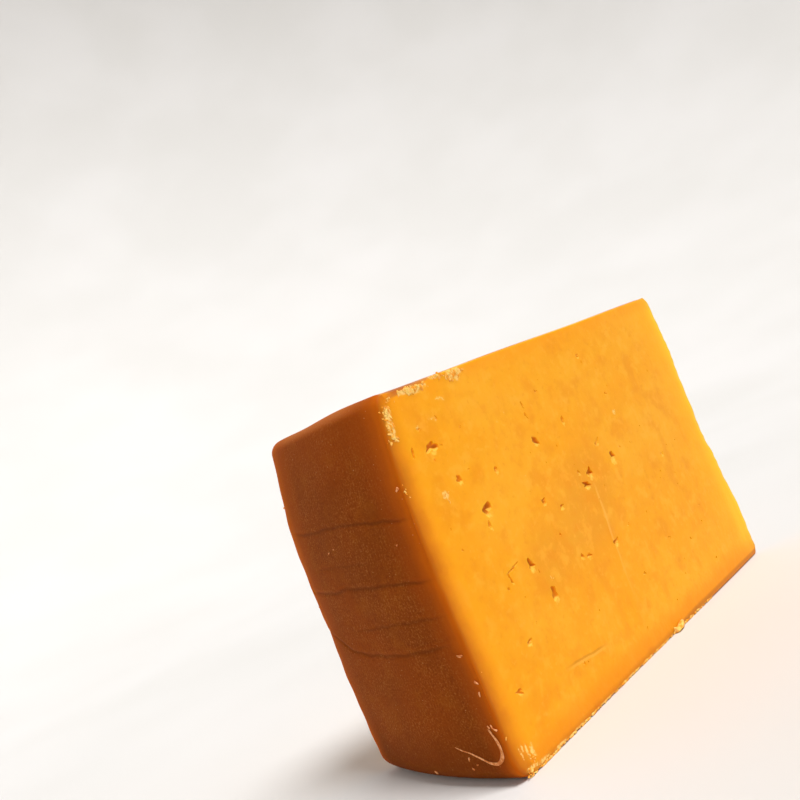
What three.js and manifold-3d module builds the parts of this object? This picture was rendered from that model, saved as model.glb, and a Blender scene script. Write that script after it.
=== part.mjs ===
import * as THREE from "three";
import { mergeVertices } from "three/addons/utils/BufferGeometryUtils.js";
import Module from "manifold-3d";

// A wedge of smoked pinconning cheese, one sixteenth of a round wheel, standing on the wheel's flat bottom.
// Millimetres, +Z up. The thin tip points along +X, the curved smoked rind faces -X, and the near cut, the
// one with the clearest openings, faces -Y. The origin is under the middle of the wedge, on its bottom.

// The wheel
const WEDGES_IN_WHEEL = 16;
const WHEEL_HEIGHT = 110.2;
const FOOT_RADIUS = 171.5;
const TOP_RADIUS = 167;
const SIDE_BULGE = 2.9;
const BULGE_TOWARDS_TOP = 0.65;
const FOOT_ROUNDING = 6.4;
const TOP_ROUNDING = 3.5;

// How finely the wheel's surface is divided
const COLUMNS_ON_RIND = 14;
const SIDE_STEP = 6;
const ROUNDING_STEPS = 5;
const FLAT_STEP = 13;
const CUT_STEP = 16;
const FINE = 1;
const COARSE = 0;

// The form that the press cloth, the shelf and the knife leave, as the height of crossed waves. The waves
// run along and across a surface. Each bends or slants with the other, over the lengths given here.
const RIND_LUMP = 0.35;
const RIND_WAVES = { along: 6.1, bend: 0.8, bendOver: 11, across: 8.3, slant: 17, acrossShare: 1 };
const TOP_LUMP = 0.4;
const TOP_LUMP_START = 12;
const TOP_WAVES = { along: 15, bend: 0.9, bendOver: 12, across: 10.5, slant: -29, acrossShare: 1 };
const KNIFE_WAVE = 0.3;
const KNIFE_WAVES = { along: 23, bend: 0.7, bendOver: 31, across: 13, slant: 47, acrossShare: 0.6 };
const FAR_CUT_LEAN = 0.0131;

// Creases across the rind, each a route of [degrees in from the near cut, height]
const CREASE_WIDTH = 1.3;
const CREASES = [
  { depth: 0.8, route: [[2, 76.4], [5.5, 77.9], [13, 80], [21, 80.6]] },
  { depth: 0.45, route: [[7.5, 67.3], [13, 68.3], [19.5, 68.4]] },
  { depth: 0.8, route: [[1.6, 58.8], [9.4, 60.5], [13.5, 61.3], [16.3, 60.4], [22, 61.5]] },
  { depth: 0.6, route: [[1.6, 48.7], [8, 48.8], [15.5, 47.9]] },
  { depth: 0.85, route: [[3, 40], [8.3, 39.6], [13.8, 40.2], [17.5, 41.9], [20, 45.4], [23, 49.5]] },
];
const CREASE_STEPS = 16;
const CREASE_CURVE_SEGMENTS = 3;

// The large openings of the near cut: [distance from the tip, height, width, tallness, turn in degrees]
const OPENINGS = [
  [153.4, 90.9, 4.4, 2.8, 12],
  [161.5, 91.4, 1.3, 3.4, -10],
  [147.9, 79.4, 2.6, 2.2, -35],
  [141.7, 68.2, 3.8, 4.4, 20],
  [143.5, 63.9, 1.5, 2.8, 5],
  [106.5, 79.2, 3.6, 2.5, -20],
  [105.6, 89.6, 1.3, 4.8, 10],
  [88.1, 81.3, 1.6, 2.6, 0],
  [74.6, 69.2, 3, 1.6, 35],
  [68.7, 62.3, 3.8, 4, 0],
  [85.4, 61.5, 2.4, 3.4, -15],
  [89.6, 59, 4.3, 2, -12],
  [115.1, 61.5, 2.5, 1.9, 0],
  [107.1, 57.1, 2.5, 1.3, 15],
  [86.4, 37.6, 3.5, 2.4, 10],
  [106.5, 39.8, 2.6, 2, 0],
  [133, 47.5, 3.4, 3.6, 0],
  [142.6, 49, 4.6, 1.4, 12],
  [127.8, 36.4, 3.4, 3.8, 0],
  [146.9, 29.6, 2.6, 1.8, 10],
  [158.8, 20.4, 3.4, 1.8, -15],
];
const OPENING_DEPTH = 0.55;
const SMALL_OPENINGS = 16;
const FAR_OPENINGS = 34;
const SMALL_OPENING_SIZE = [1, 1.9];
const FAR_OPENING_SIZE = [1.2, 4];
const OPENING_CLEARANCE = 8;
const OPENINGS_START = 24;
const OPENING_TURN = [-40, 40];
const LUMP_ROUGHNESS = [0.7, 1.15];

// Crumbs broken off the arrises
const NICKS_ON_CUT = 16;
const NICK_SIZE = [0.7, 1.7];
const NICKS_START_ON_TOP = 83.5;
const NICKS_START_ON_BOTTOM = 41.75;
const TIP_CORNER_NICK = 2.4;

const MARGIN = 10;
const MERGE_DISTANCE = 1e-4;
const SEED = 9588;

const HALF_ANGLE = Math.PI / WEDGES_IN_WHEEL;
const TAU = 2 * Math.PI;

// The two knife cuts. Each is laid out in a plane with X along the cut, Y up and Z out of the cheese, then
// turned up about the wheel's centre. rindward says which way along X the rind lies.
const NEAR_CUT = { turn: HALF_ANGLE, rindward: -1, lean: 0, phase: 0.4 };
const FAR_CUT = { turn: Math.PI - HALF_ANGLE, rindward: 1, lean: FAR_CUT_LEAN, phase: 2.9 };

const wasm = await Module();
wasm.setup();

// Repeatable random numbers from 0 to 1
function makeRandom(seed) {
  let state = seed;
  return () => {
    state = (Math.imul(state, 1664525) + 1013904223) >>> 0;
    return state / 2 ** 32;
  };
}

const random = makeRandom(SEED);

function between([low, high]) {
  return low + (high - low) * random();
}

// Geometry with its shared corners joined, so that it is closed
function joined(geometry) {
  geometry.deleteAttribute("normal");
  geometry.deleteAttribute("uv");
  return mergeVertices(geometry, MERGE_DISTANCE);
}

function solidOf(geometry) {
  const closed = joined(geometry);
  return new wasm.Manifold(
    new wasm.Mesh({
      numProp: 3,
      vertProperties: closed.attributes.position.array,
      triVerts: new Uint32Array(closed.index.array),
    }),
  );
}

// Moves each corner of a geometry to where the function puts it
function reshape(geometry, move) {
  const position = geometry.attributes.position;
  const point = new THREE.Vector3();
  for (let i = 0; i < position.count; i++) {
    point.fromBufferAttribute(position, i);
    move(point);
    position.setXYZ(i, point.x, point.y, point.z);
  }
  return geometry;
}

// The radius of the wheel's side at a height, before its corners are rounded
function sideRadius(height) {
  const up = height / WHEEL_HEIGHT;
  const fromMiddle = 2 * up - 1;
  const bulge = SIDE_BULGE * (1 - fromMiddle ** 2) * (1 + BULGE_TOWARDS_TOP * fromMiddle);
  return THREE.MathUtils.lerp(FOOT_RADIUS, TOP_RADIUS, up) + bulge;
}

// Half of the wheel's section, from the axis along the bottom, up the side and back along the top
function wheelSection() {
  const section = [];
  const flat = (from, to, height) => {
    const steps = Math.round(Math.abs(to - from) / FLAT_STEP);
    for (let i = 0; i < steps; i++) {
      section.push(new THREE.Vector2(from + ((to - from) * i) / steps, height));
    }
  };
  const rounding = (radius, atTop) => {
    for (let i = 0; i <= ROUNDING_STEPS; i++) {
      const turn = (Math.PI / 2) * (i / ROUNDING_STEPS);
      const edge = atTop ? Math.PI / 2 - turn : turn;
      const fromFlat = radius * (1 - Math.cos(edge));
      const height = atTop ? WHEEL_HEIGHT - fromFlat : fromFlat;
      section.push(new THREE.Vector2(sideRadius(height) - radius * (1 - Math.sin(edge)), height));
    }
  };
  flat(0, FOOT_RADIUS - FOOT_ROUNDING, 0);
  rounding(FOOT_ROUNDING, false);
  const low = FOOT_ROUNDING;
  const high = WHEEL_HEIGHT - TOP_ROUNDING;
  const rows = Math.round((high - low) / SIDE_STEP);
  for (let i = 1; i < rows; i++) {
    const height = low + ((high - low) * i) / rows;
    section.push(new THREE.Vector2(sideRadius(height), height));
  }
  rounding(TOP_ROUNDING, true);
  flat(TOP_RADIUS - TOP_ROUNDING, 0, WHEEL_HEIGHT);
  section.push(new THREE.Vector2(0, WHEEL_HEIGHT));
  return section;
}

// Two crossed sine waves over a surface, between -2 and 2 where both have their full share
function crossedWaves(waves, along, across, phase) {
  const first = Math.sin(along / waves.along + waves.bend * Math.sin(across / waves.bendOver) + phase);
  const second = Math.sin(across / waves.across + along / waves.slant + 2 * phase);
  return first + waves.acrossShare * second;
}

// Soft lumps of the rind, along the arc and up the side, fading out at the foot
function rindLump(arc, height) {
  const lumps = crossedWaves(RIND_WAVES, arc, height, 0) / 2;
  return RIND_LUMP * lumps * THREE.MathUtils.smoothstep(height, 0, 2 * FOOT_ROUNDING);
}

// Soft hollows of the wheel's top, all below its full height, fading in from the wheel's centre
function topHollow(x, y) {
  const hollows = (2 + crossedWaves(TOP_WAVES, x, y, 0)) / 4;
  return TOP_LUMP * hollows * THREE.MathUtils.smoothstep(Math.hypot(x, y), 0, TOP_LUMP_START);
}

function makeWheel() {
  const geometry = new THREE.LatheGeometry(wheelSection(), COLUMNS_ON_RIND * WEDGES_IN_WHEEL);
  geometry.rotateX(Math.PI / 2);
  reshape(geometry, (point) => {
    const radius = Math.hypot(point.x, point.y);
    if (radius < MERGE_DISTANCE) {
      return;
    }
    const side = THREE.MathUtils.smoothstep(radius, TOP_RADIUS - 2 * TOP_ROUNDING, TOP_RADIUS);
    const arc = radius * Math.atan2(point.y, -point.x);
    const grown = 1 + (side * rindLump(arc, point.z)) / radius;
    point.x *= grown;
    point.y *= grown;
    if (point.z > WHEEL_HEIGHT / 2) {
      point.z -= (1 - side) * topHollow(point.x, point.y);
    }
  });
  return solidOf(geometry);
}

// How far a cut's surface stands out of its plane, at a distance from the tip and a height
function cutRelief(cut, fromTip, height) {
  const wander = KNIFE_WAVE * crossedWaves(KNIFE_WAVES, fromTip, height, cut.phase);
  return wander - cut.lean * (height - WHEEL_HEIGHT / 2);
}

function turnUp(geometry, cut) {
  return geometry.rotateX(Math.PI / 2).rotateZ(cut.turn);
}

// All that the knife takes away on its side of a cut
function offcut(cut) {
  const length = 2 * (FOOT_RADIUS + MARGIN);
  const tallness = WHEEL_HEIGHT + 2 * MARGIN;
  const columns = Math.round(length / CUT_STEP);
  const rows = Math.round(tallness / CUT_STEP);
  const slab = new THREE.BoxGeometry(length, tallness, length, columns, rows, 1);
  slab.translate(0, WHEEL_HEIGHT / 2, length / 2);
  reshape(slab, (point) => {
    if (point.z < MARGIN) {
      point.z += cutRelief(cut, cut.rindward * point.x, point.y);
    }
  });
  return solidOf(turnUp(slab, cut));
}

// A rough lump, the shape of an opening in the paste or of a crumb that has come off
function lump(detail) {
  const ball = joined(new THREE.IcosahedronGeometry(1, detail));
  return reshape(ball, (point) => point.multiplyScalar(between(LUMP_ROUGHNESS)));
}

function openingAt(cut, [fromTip, height, width, tallness, turn], detail) {
  const depth = (OPENING_DEPTH * (width + tallness)) / 2;
  const hollow = lump(detail);
  hollow.scale(width / 2, tallness / 2, depth);
  hollow.rotateZ(THREE.MathUtils.degToRad(turn));
  hollow.translate(cut.rindward * fromTip, height, cutRelief(cut, fromTip, height));
  return solidOf(turnUp(hollow, cut));
}

// Openings strewn over a cut, clear of its edges
function strewnOpenings(cut, count, sizes) {
  return Array.from({ length: count }, () => {
    const fromTip = between([OPENINGS_START, TOP_RADIUS - OPENING_CLEARANCE]);
    const height = between([OPENING_CLEARANCE, WHEEL_HEIGHT - OPENING_CLEARANCE]);
    return openingAt(cut, [fromTip, height, between(sizes), between(sizes), between(OPENING_TURN)], COARSE);
  });
}

// Small breaks along a cut's edges: its top, its rind side, its bottom and the tip
function nicks(cut) {
  const edges = [
    () => [between([NICKS_START_ON_TOP, TOP_RADIUS]), WHEEL_HEIGHT],
    () => {
      const height = between([TOP_ROUNDING, WHEEL_HEIGHT - TOP_ROUNDING]);
      return [sideRadius(height), height];
    },
    () => [between([NICKS_START_ON_BOTTOM, TOP_RADIUS - FOOT_ROUNDING]), 0],
    () => [0, between([FOOT_ROUNDING, WHEEL_HEIGHT - TOP_ROUNDING])],
  ];
  return Array.from({ length: NICKS_ON_CUT }, (_, i) => {
    const [fromTip, height] = edges[i % edges.length]();
    const nick = lump(COARSE);
    nick.scale(between(NICK_SIZE), between(NICK_SIZE), between(NICK_SIZE) / 2);
    nick.translate(cut.rindward * fromTip, height, cutRelief(cut, fromTip, height));
    return solidOf(turnUp(nick, cut));
  });
}

// The tip's two corners, worn round
function tipCornerNick(height) {
  const nick = lump(FINE);
  nick.scale(TIP_CORNER_NICK, TIP_CORNER_NICK, TIP_CORNER_NICK / 2);
  nick.translate(TIP_CORNER_NICK, height, 0);
  return solidOf(nick.rotateX(Math.PI / 2));
}

// A crease is a round groove that sinks into the rind along its route and rises out of it at both ends
function crease({ depth, route }) {
  const radius = CREASE_WIDTH / 2;
  const points = route.map(([degrees, height], i) => {
    const turn = Math.PI + HALF_ANGLE - THREE.MathUtils.degToRad(degrees);
    const ending = i === 0 || i === route.length - 1;
    const out = sideRadius(height) + radius - (ending ? 0 : depth);
    return new THREE.Vector3(out * Math.cos(turn), out * Math.sin(turn), height);
  });
  const section = new THREE.Shape();
  section.absarc(0, 0, radius, 0, TAU);
  return solidOf(
    new THREE.ExtrudeGeometry(section, {
      steps: CREASE_STEPS,
      curveSegments: CREASE_CURVE_SEGMENTS,
      bevelEnabled: false,
      extrudePath: new THREE.CatmullRomCurve3(points),
    }),
  );
}

function makeWedge() {
  const takenAway = [
    offcut(NEAR_CUT),
    offcut(FAR_CUT),
    ...CREASES.map(crease),
    ...OPENINGS.map((opening) => openingAt(NEAR_CUT, opening, FINE)),
    ...strewnOpenings(NEAR_CUT, SMALL_OPENINGS, SMALL_OPENING_SIZE),
    ...strewnOpenings(FAR_CUT, FAR_OPENINGS, FAR_OPENING_SIZE),
    ...nicks(NEAR_CUT),
    ...nicks(FAR_CUT),
    tipCornerNick(0),
    tipCornerNick(WHEEL_HEIGHT),
  ];
  const solid = takenAway.reduce((rest, piece) => rest.subtract(piece), makeWheel());
  const mesh = solid.getMesh();
  const geometry = new THREE.BufferGeometry();
  geometry.setAttribute("position", new THREE.BufferAttribute(new Float32Array(mesh.vertProperties), 3));
  geometry.setIndex(new THREE.BufferAttribute(new Uint32Array(mesh.triVerts), 1));
  geometry.computeBoundingBox();
  const { min, max } = geometry.boundingBox;
  geometry.translate(-(min.x + max.x) / 2, -(min.y + max.y) / 2, -min.z);
  geometry.computeVertexNormals();
  return geometry;
}

const smokedPaste = new THREE.MeshStandardMaterial({ color: 0xf2a138, roughness: 0.5, metalness: 0 });
const wedge = new THREE.Mesh(makeWedge(), smokedPaste);
wedge.name = "cheese_wedge";

const cheese = new THREE.Group();
cheese.add(wedge);

export default cheese;
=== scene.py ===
"""A wedge of smoked pinconning cheese, dressed on a pale studio floor.

The wedge is one sixteenth of a round wheel. Its lateral skin is one closed ring of points carried up the
height, its flat faces are filled inside that ring, and openings are carved out of its two cut faces.
All lengths are in metres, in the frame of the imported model: +Z up, the tip along +X, the rind facing -X.
"""

import logging
import math
from dataclasses import dataclass, field
from enum import Enum

import bpy
import numpy as np
from mathutils import Matrix, Vector
from mathutils.geometry import delaunay_2d_cdt


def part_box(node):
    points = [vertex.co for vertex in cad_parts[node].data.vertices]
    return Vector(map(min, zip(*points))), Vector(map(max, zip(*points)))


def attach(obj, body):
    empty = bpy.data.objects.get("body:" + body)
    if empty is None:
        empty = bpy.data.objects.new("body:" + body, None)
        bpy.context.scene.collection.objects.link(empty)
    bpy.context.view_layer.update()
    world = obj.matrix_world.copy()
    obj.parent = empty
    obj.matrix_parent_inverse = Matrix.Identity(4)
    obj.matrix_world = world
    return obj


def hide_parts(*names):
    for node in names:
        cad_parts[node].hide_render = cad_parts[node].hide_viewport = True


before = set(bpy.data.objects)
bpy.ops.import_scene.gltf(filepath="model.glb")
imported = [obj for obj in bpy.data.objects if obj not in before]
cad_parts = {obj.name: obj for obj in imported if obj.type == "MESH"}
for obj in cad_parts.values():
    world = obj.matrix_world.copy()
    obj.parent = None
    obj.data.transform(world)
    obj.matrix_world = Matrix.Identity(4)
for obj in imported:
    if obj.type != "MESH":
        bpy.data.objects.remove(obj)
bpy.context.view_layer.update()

Array = np.ndarray
Sockets = dict[str, bpy.types.NodeSocket]
log = logging.getLogger("smoked_cheese")

MM = 0.001
NODE = "cheese_wedge"
BODY = "root"
SEED = 9588
# A depth beyond any in the wedge
VAST = 1.0
# Waves per metre of a wave texture whose scale is 1, which runs through 20 radians in each metre
WAVES = 3.2


def smooth_step(value: Array, low: float, high: float) -> Array:
    """Rises from 0 at low to 1 at high with a level start and end: 3 t^2 - 2 t^3."""
    t = np.clip((value - low) / (high - low), 0.0, 1.0)
    return t * t * (3.0 - 2.0 * t)


def linear(hex_colour: str) -> tuple[float, float, float, float]:
    """Turns an sRGB hex colour into Blender's linear RGBA.

    Args:
        hex_colour: Six hex digits, red first.

    Returns:
        Linear red, green, blue and a full alpha.
    """
    parts = [int(hex_colour[i : i + 2], 16) / 255.0 for i in (0, 2, 4)]
    red, green, blue = [p / 12.92 if p <= 0.04045 else ((p + 0.055) / 1.055) ** 2.4 for p in parts]
    return red, green, blue, 1.0


def new_piece(name: str, points: Array, faces: list[tuple[int, ...]] | Array) -> bpy.types.Object:
    """Puts points and faces into a new smooth mesh object at the origin.

    Args:
        name: The piece's name.
        points: An n by 3 array of places.
        faces: Corner indices of each face, outward by the right-hand rule.

    Returns:
        The linked object.
    """
    mesh = bpy.data.meshes.new(name)
    mesh.from_pydata(points.tolist(), [], faces if isinstance(faces, list) else faces.tolist())
    mesh.validate()
    mesh.polygons.foreach_set("use_smooth", np.ones(len(mesh.polygons), bool))
    piece = bpy.data.objects.new(name, mesh)
    bpy.context.scene.collection.objects.link(piece)
    return piece


def mesh_points(piece: bpy.types.Object) -> Array:
    """Reads the points of a mesh.

    Args:
        piece: The mesh object.

    Returns:
        The points, n by 3.
    """
    flat = np.empty(len(piece.data.vertices) * 3, np.float32)
    piece.data.vertices.foreach_get("co", flat)
    return flat.reshape(-1, 3).astype(float)


def write_attribute(piece: bpy.types.Object, name: str, values: Array) -> None:
    """Stores one number for each point of a piece's mesh, for its material to read."""
    attribute = piece.data.attributes.new(name, "FLOAT", "POINT")
    attribute.data.foreach_set("value", np.ascontiguousarray(values, np.float32))


def ring_faces(rings: int, around: int, turned: bool = False) -> list[tuple[int, ...]]:
    """Joins rings of points, one after the other, by four-cornered faces.

    Args:
        rings: How many rings there are.
        around: How many points each ring has.
        turned: Whether the faces' corners run the other way round.

    Returns:
        Corner indices of each face.
    """
    first = np.arange(rings - 1)[:, None] * around
    here = np.arange(around)[None, :]
    after = (here + 1) % around
    corners = [first + here, first + around + here, first + around + after, first + after]
    if turned:
        corners = [corners[i] for i in (0, 3, 2, 1)]
    return [tuple(q) for q in np.stack(corners, 2).reshape(-1, 4).tolist()]


@dataclass(frozen=True)
class Cut:
    """One knife cut through the wheel's centre.

    A place on it is given by its distance from the wheel's axis and its height.
    """

    rindward: tuple[float, float]
    outward: tuple[float, float]
    lean: float
    phase: float
    wave: float = 0.3 * MM
    # Lengths of the knife's long and short wander, each along the cut and up it
    long_wander: tuple[float, float] = (23 * MM, 31 * MM)
    short_wander: tuple[float, float] = (47 * MM, 13 * MM)

    def relief(self, from_axis: Array, height: Array, wheel_height: float) -> Array:
        """Works out how far the cut stands out of its plane.

        Two crossed sine waves of the knife's wander, less a lean that grows away from mid height.

        Args:
            from_axis: Distance from the wheel's axis along the cut.
            height: Height above the bottom.
            wheel_height: The wheel's full height.

        Returns:
            The distance out of the plane, for each place.
        """
        long_along, long_up = self.long_wander
        short_along, short_up = self.short_wander
        long = np.sin(from_axis / long_along + 0.7 * np.sin(height / long_up) + self.phase)
        short = 0.6 * np.sin(height / short_up + from_axis / short_along + 2 * self.phase)
        return self.wave * (long + short) - self.lean * (height - wheel_height / 2)


@dataclass(frozen=True)
class Crease:
    """A fold that the press cloth left across the rind, along a route of (degrees in, height in mm)."""

    depth: float
    route: tuple[tuple[float, float], ...]
    # How strongly painted shade darkens the groove, as a share
    shade: float = 1.0
    width: float = 0.6 * MM
    wander: float = 0.14 * MM
    quiver: float = 0.05 * MM
    # Degrees that it takes to fade, before and after each end of the route
    fade: tuple[float, float] = (1.6, 2.5)
    shoulder: float = 0.22

    def groove(self, degrees: Array, height: Array) -> Array:
        """Depth of the groove, with a low shoulder above it.

        A bell curve of the height over the route, less a smaller one beside it, faded at the route's ends.

        Args:
            degrees: Angle in from the near cut.
            height: Height above the bottom.

        Returns:
            How far the rind sinks at each place.
        """
        at = np.array([p[0] for p in self.route])
        middle = np.interp(degrees, at, [p[1] * MM for p in self.route])
        middle = middle + self.wander * np.sin(degrees * 1.9 + at[0]) + self.quiver * np.sin(degrees * 5.3)
        outside, inside = self.fade
        starts = smooth_step(degrees, at[0] - outside, at[0] + inside)
        stops = smooth_step(degrees, at[-1] - inside, at[-1] + outside)
        off = (height - middle) / self.width
        shoulder = self.shoulder * np.exp(-((off - 2.6) ** 2) / 2.0)
        return self.depth * starts * (1 - stops) * (np.exp(-(off**2)) - shoulder)


@dataclass
class WheelForm:
    """The form of the wheel and of the wedge cut from it, about the wheel's own axis."""

    height: float = 110.2 * MM
    foot_radius: float = 171.5 * MM
    top_radius: float = 167.0 * MM
    side_bulge: float = 2.9 * MM
    bulge_towards_top: float = 0.65
    foot_rounding: float = 6.4 * MM
    top_rounding: float = 3.5 * MM
    half_angle: float = math.pi / 16
    rind_lump: float = 0.35 * MM
    top_lump: float = 0.4 * MM
    top_lump_start: float = 12 * MM
    # Lengths of the press cloth's lumps, and of the top's hollows: round or along, and up or across
    cloth_waves: tuple[float, ...] = (6.1 * MM, 11 * MM, 8.3 * MM, 17 * MM)
    hollow_waves: tuple[float, ...] = (15 * MM, 12 * MM, 10.5 * MM, 29 * MM)
    hollows_end: tuple[float, float] = (160 * MM, 166 * MM)
    far_lean: float = 0.0131
    arris_wear: float = 0.9 * MM
    rind_arris_wear: float = 1.6
    wear_reach: float = 1.8
    # Uneven wear along an arris: share of the usual wear, length of the wave and how far its phase moves
    wear_waves: tuple[tuple[float, ...], ...] = (
        (0.3, 9 * MM, 1),
        (0.22, 3.7 * MM, 2.1),
        (0.16, 1.6 * MM, 3.3),
    )
    least_wear: float = 0.34
    corner_wear: float = 0.6 * MM
    corner_width: float = 1.7 * MM
    corner_starts: tuple[float, float] = (112 * MM, 158 * MM)
    corner_in: float = 0.6
    corner_down: float = 0.8
    # Heights between which the section's rows are crowded for the creases, and how much more
    crease_zone: tuple[float, ...] = (34 * MM, 40 * MM, 80 * MM, 86 * MM)
    crease_crowding: float = 1.1
    end_zone: float = 4 * MM
    end_crowding: float = 1.6
    creases: tuple[Crease, ...] = (
        Crease(0.28 * MM, ((0.6, 75.8), (5.5, 77.9), (9, 79.3), (13, 80.0), (17, 79.7), (21, 80.6)), 0.9),
        Crease(0.16 * MM, ((7.5, 67.3), (13, 68.3), (19.5, 68.4)), 0.45),
        Crease(
            0.32 * MM,
            ((0.7, 58.6), (5.7, 60.1), (9.4, 60.5), (13.5, 61.4), (16.3, 60.4), (22, 61.5)),
            0.9,
        ),
        Crease(0.24 * MM, ((0.8, 48.7), (8, 48.8), (15.5, 47.9)), 0.65),
        Crease(0.12 * MM, ((0.4, 42.4), (5.2, 42.4), (8, 43.0)), 0.4),
        Crease(
            0.34 * MM,
            ((2, 40.4), (8.3, 39.6), (13.8, 40.2), (17.2, 41.6), (19.2, 44.6), (22.5, 49.2)),
            0.85,
        ),
    )

    def __post_init__(self) -> None:
        """Lays out the near cut, facing -Y, and the far cut, facing +Y."""
        c, s = math.cos(self.half_angle), math.sin(self.half_angle)
        self.near = Cut(rindward=(-c, -s), outward=(s, -c), lean=0.0, phase=0.4)
        self.far = Cut(rindward=(-c, s), outward=(s, c), lean=self.far_lean, phase=2.9)

    def side_radius(self, height: Array) -> Array:
        """Works out the side's radius: a straight taper plus a bulge that is fullest above the middle.

        Args:
            height: Height above the bottom.

        Returns:
            The radius, for each height.
        """
        up = height / self.height
        from_middle = 2 * up - 1
        bulge = self.side_bulge * (1 - from_middle**2) * (1 + self.bulge_towards_top * from_middle)
        return self.foot_radius + (self.top_radius - self.foot_radius) * up + bulge

    def section(self, rows: int) -> tuple[Array, Array, Array, Array]:
        """Works out the edge of the wheel's section, from the end of its bottom to the start of its top.

        Rows are spaced by arc length, closer where the creases lie. The two roundings are quarter
        circles set into the side's curve.

        Args:
            rows: How many points the section has.

        Returns:
            Radius, height, the outward direction's turn above level, and the share of the way up.
        """
        foot, top = self.foot_rounding * math.pi / 2, self.top_rounding * math.pi / 2
        side = self.height - self.foot_rounding - self.top_rounding
        whole = foot + side + top
        fine = np.linspace(0, whole, 4000)
        rise = fine - foot + self.foot_rounding
        low, low_full, high_full, high = self.crease_zone
        crowded = self.crease_crowding * smooth_step(rise, low, low_full)
        weight = 1 + crowded * (1 - smooth_step(rise, high_full, high))
        ends = smooth_step(fine, self.end_zone, 0) + smooth_step(fine, whole - self.end_zone, whole)
        weight += self.end_crowding * ends
        spent = np.concatenate([[0], np.cumsum((weight[1:] + weight[:-1]) / 2)])
        along = np.interp(np.linspace(0, spent[-1], rows), spent, fine)
        foot_turn = np.clip(along / foot, 0, 1) * math.pi / 2
        top_turn = np.clip((along - foot - side) / top, 0, 1) * math.pi / 2
        height = (
            self.foot_rounding * (1 - np.cos(foot_turn))
            + np.clip(along - foot, 0, side)
            + self.top_rounding * np.sin(top_turn)
        )
        inset = self.foot_rounding * (1 - np.sin(foot_turn)) + self.top_rounding * (1 - np.cos(top_turn))
        radius = self.side_radius(height) - inset
        return radius, height, foot_turn - math.pi / 2 + top_turn, along / whole

    def rind_relief(self, radius: Array, turn: Array, height: Array) -> Array:
        """Relief of the rind: soft lumps of the press cloth, less the grooves of its creases.

        Args:
            radius: Distance from the wheel's axis.
            turn: Angle from the wedge's middle, growing towards the near cut.
            height: Height above the bottom.

        Returns:
            How far the rind stands out at each place.
        """
        arc = radius * turn
        round_it, bent, up, slanted = self.cloth_waves
        lumps = np.sin(arc / round_it + 0.8 * np.sin(height / bent)) + np.sin(height / up + arc / slanted)
        relief = 0.5 * self.rind_lump * lumps * smooth_step(height, 0, 2 * self.foot_rounding)
        degrees = np.degrees(self.half_angle - turn)
        return relief - sum(crease.groove(degrees, height) for crease in self.creases)

    def top_hollow(self, x: Array, y: Array) -> Array:
        """Works out the depth of the top's soft hollows: crossed sine waves that fade in away from the tip.

        Args:
            x: Place along the wheel's X.
            y: Place along the wheel's Y.

        Returns:
            How far the top sinks at each place.
        """
        long, bent, cross, slanted = self.hollow_waves
        hollows = 2 + np.sin(x / long + 0.9 * np.sin(y / bent)) + np.sin(y / cross - x / slanted)
        radius = np.hypot(x, y)
        inside = smooth_step(radius, 0, self.top_lump_start) * (1 - smooth_step(radius, *self.hollows_end))
        return 0.25 * self.top_lump * hollows * inside

    def wear(self, distance: Array, rounding: Array) -> Array:
        """How far a face sinks near a worn arris.

        A hyperbola that both faces share. It passes through the middle of a quarter circle of this rounding,
        runs at half a right angle there, and dies away well inside each face, so that no line shows.

        Args:
            distance: Distance from the unworn arris.
            rounding: The arris's rounding.

        Returns:
            How far the face lies below its unworn place.
        """
        meeting = 1 - math.sqrt(0.5)
        offset = meeting**2 / (self.wear_reach - 2 * meeting)
        sink = (meeting + offset) ** 2 / (np.maximum(distance, 0) / rounding + offset) - offset
        return rounding * np.maximum(sink, 0)

    def soften_corner(self, points: Array) -> Array:
        """Wears the near cut's top arris down near the rind.

        Places sink in and down by a bell curve of their distance from the arris, fading towards the tip.

        Args:
            points: Places, n by 3.

        Returns:
            The moved places.
        """
        from_axis = points[:, :2] @ np.array(self.near.rindward)
        behind = np.maximum(-(points[:, :2] @ np.array(self.near.outward)), 0)
        away = np.hypot(behind, self.height - points[:, 2])
        bell = np.exp(-((away / self.corner_width) ** 2))
        amount = self.corner_wear * bell * smooth_step(from_axis, *self.corner_starts)
        direction = [self.corner_in * part for part in self.near.outward] + [self.corner_down]
        return points - amount[:, None] * np.array(direction)

    def rounding_along(self, along: Array, phase: float) -> Array:
        """Uneven rounding of an arris: the usual wear and three sine waves along it, never under a least."""
        uneven = sum(
            share * np.sin(along / length + moves * phase) for share, length, moves in self.wear_waves
        )
        return self.arris_wear * np.maximum(1 + uneven, self.least_wear)

    def rind_place(self, degrees: Array, height: Array) -> tuple[Array, Array, Array]:
        """Finds places on the rind, its foot's rounding included.

        Args:
            degrees: Angle in from the near cut.
            height: Height above the bottom.

        Returns:
            The places, the level direction along the rind and the level direction out of it, n by 3 each.
        """
        foot = np.clip(1 - height / self.foot_rounding, 0, 1)
        radius = self.side_radius(height) - self.foot_rounding * (1 - np.sqrt(1 - foot**2))
        turn = math.pi + self.half_angle - np.radians(degrees)
        level = np.zeros_like(turn)
        out = np.stack([np.cos(turn), np.sin(turn), level], 1)
        along = np.stack([-np.sin(turn), np.cos(turn), level], 1)
        return np.column_stack([radius[:, None] * out[:, :2], height]), along, out


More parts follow.
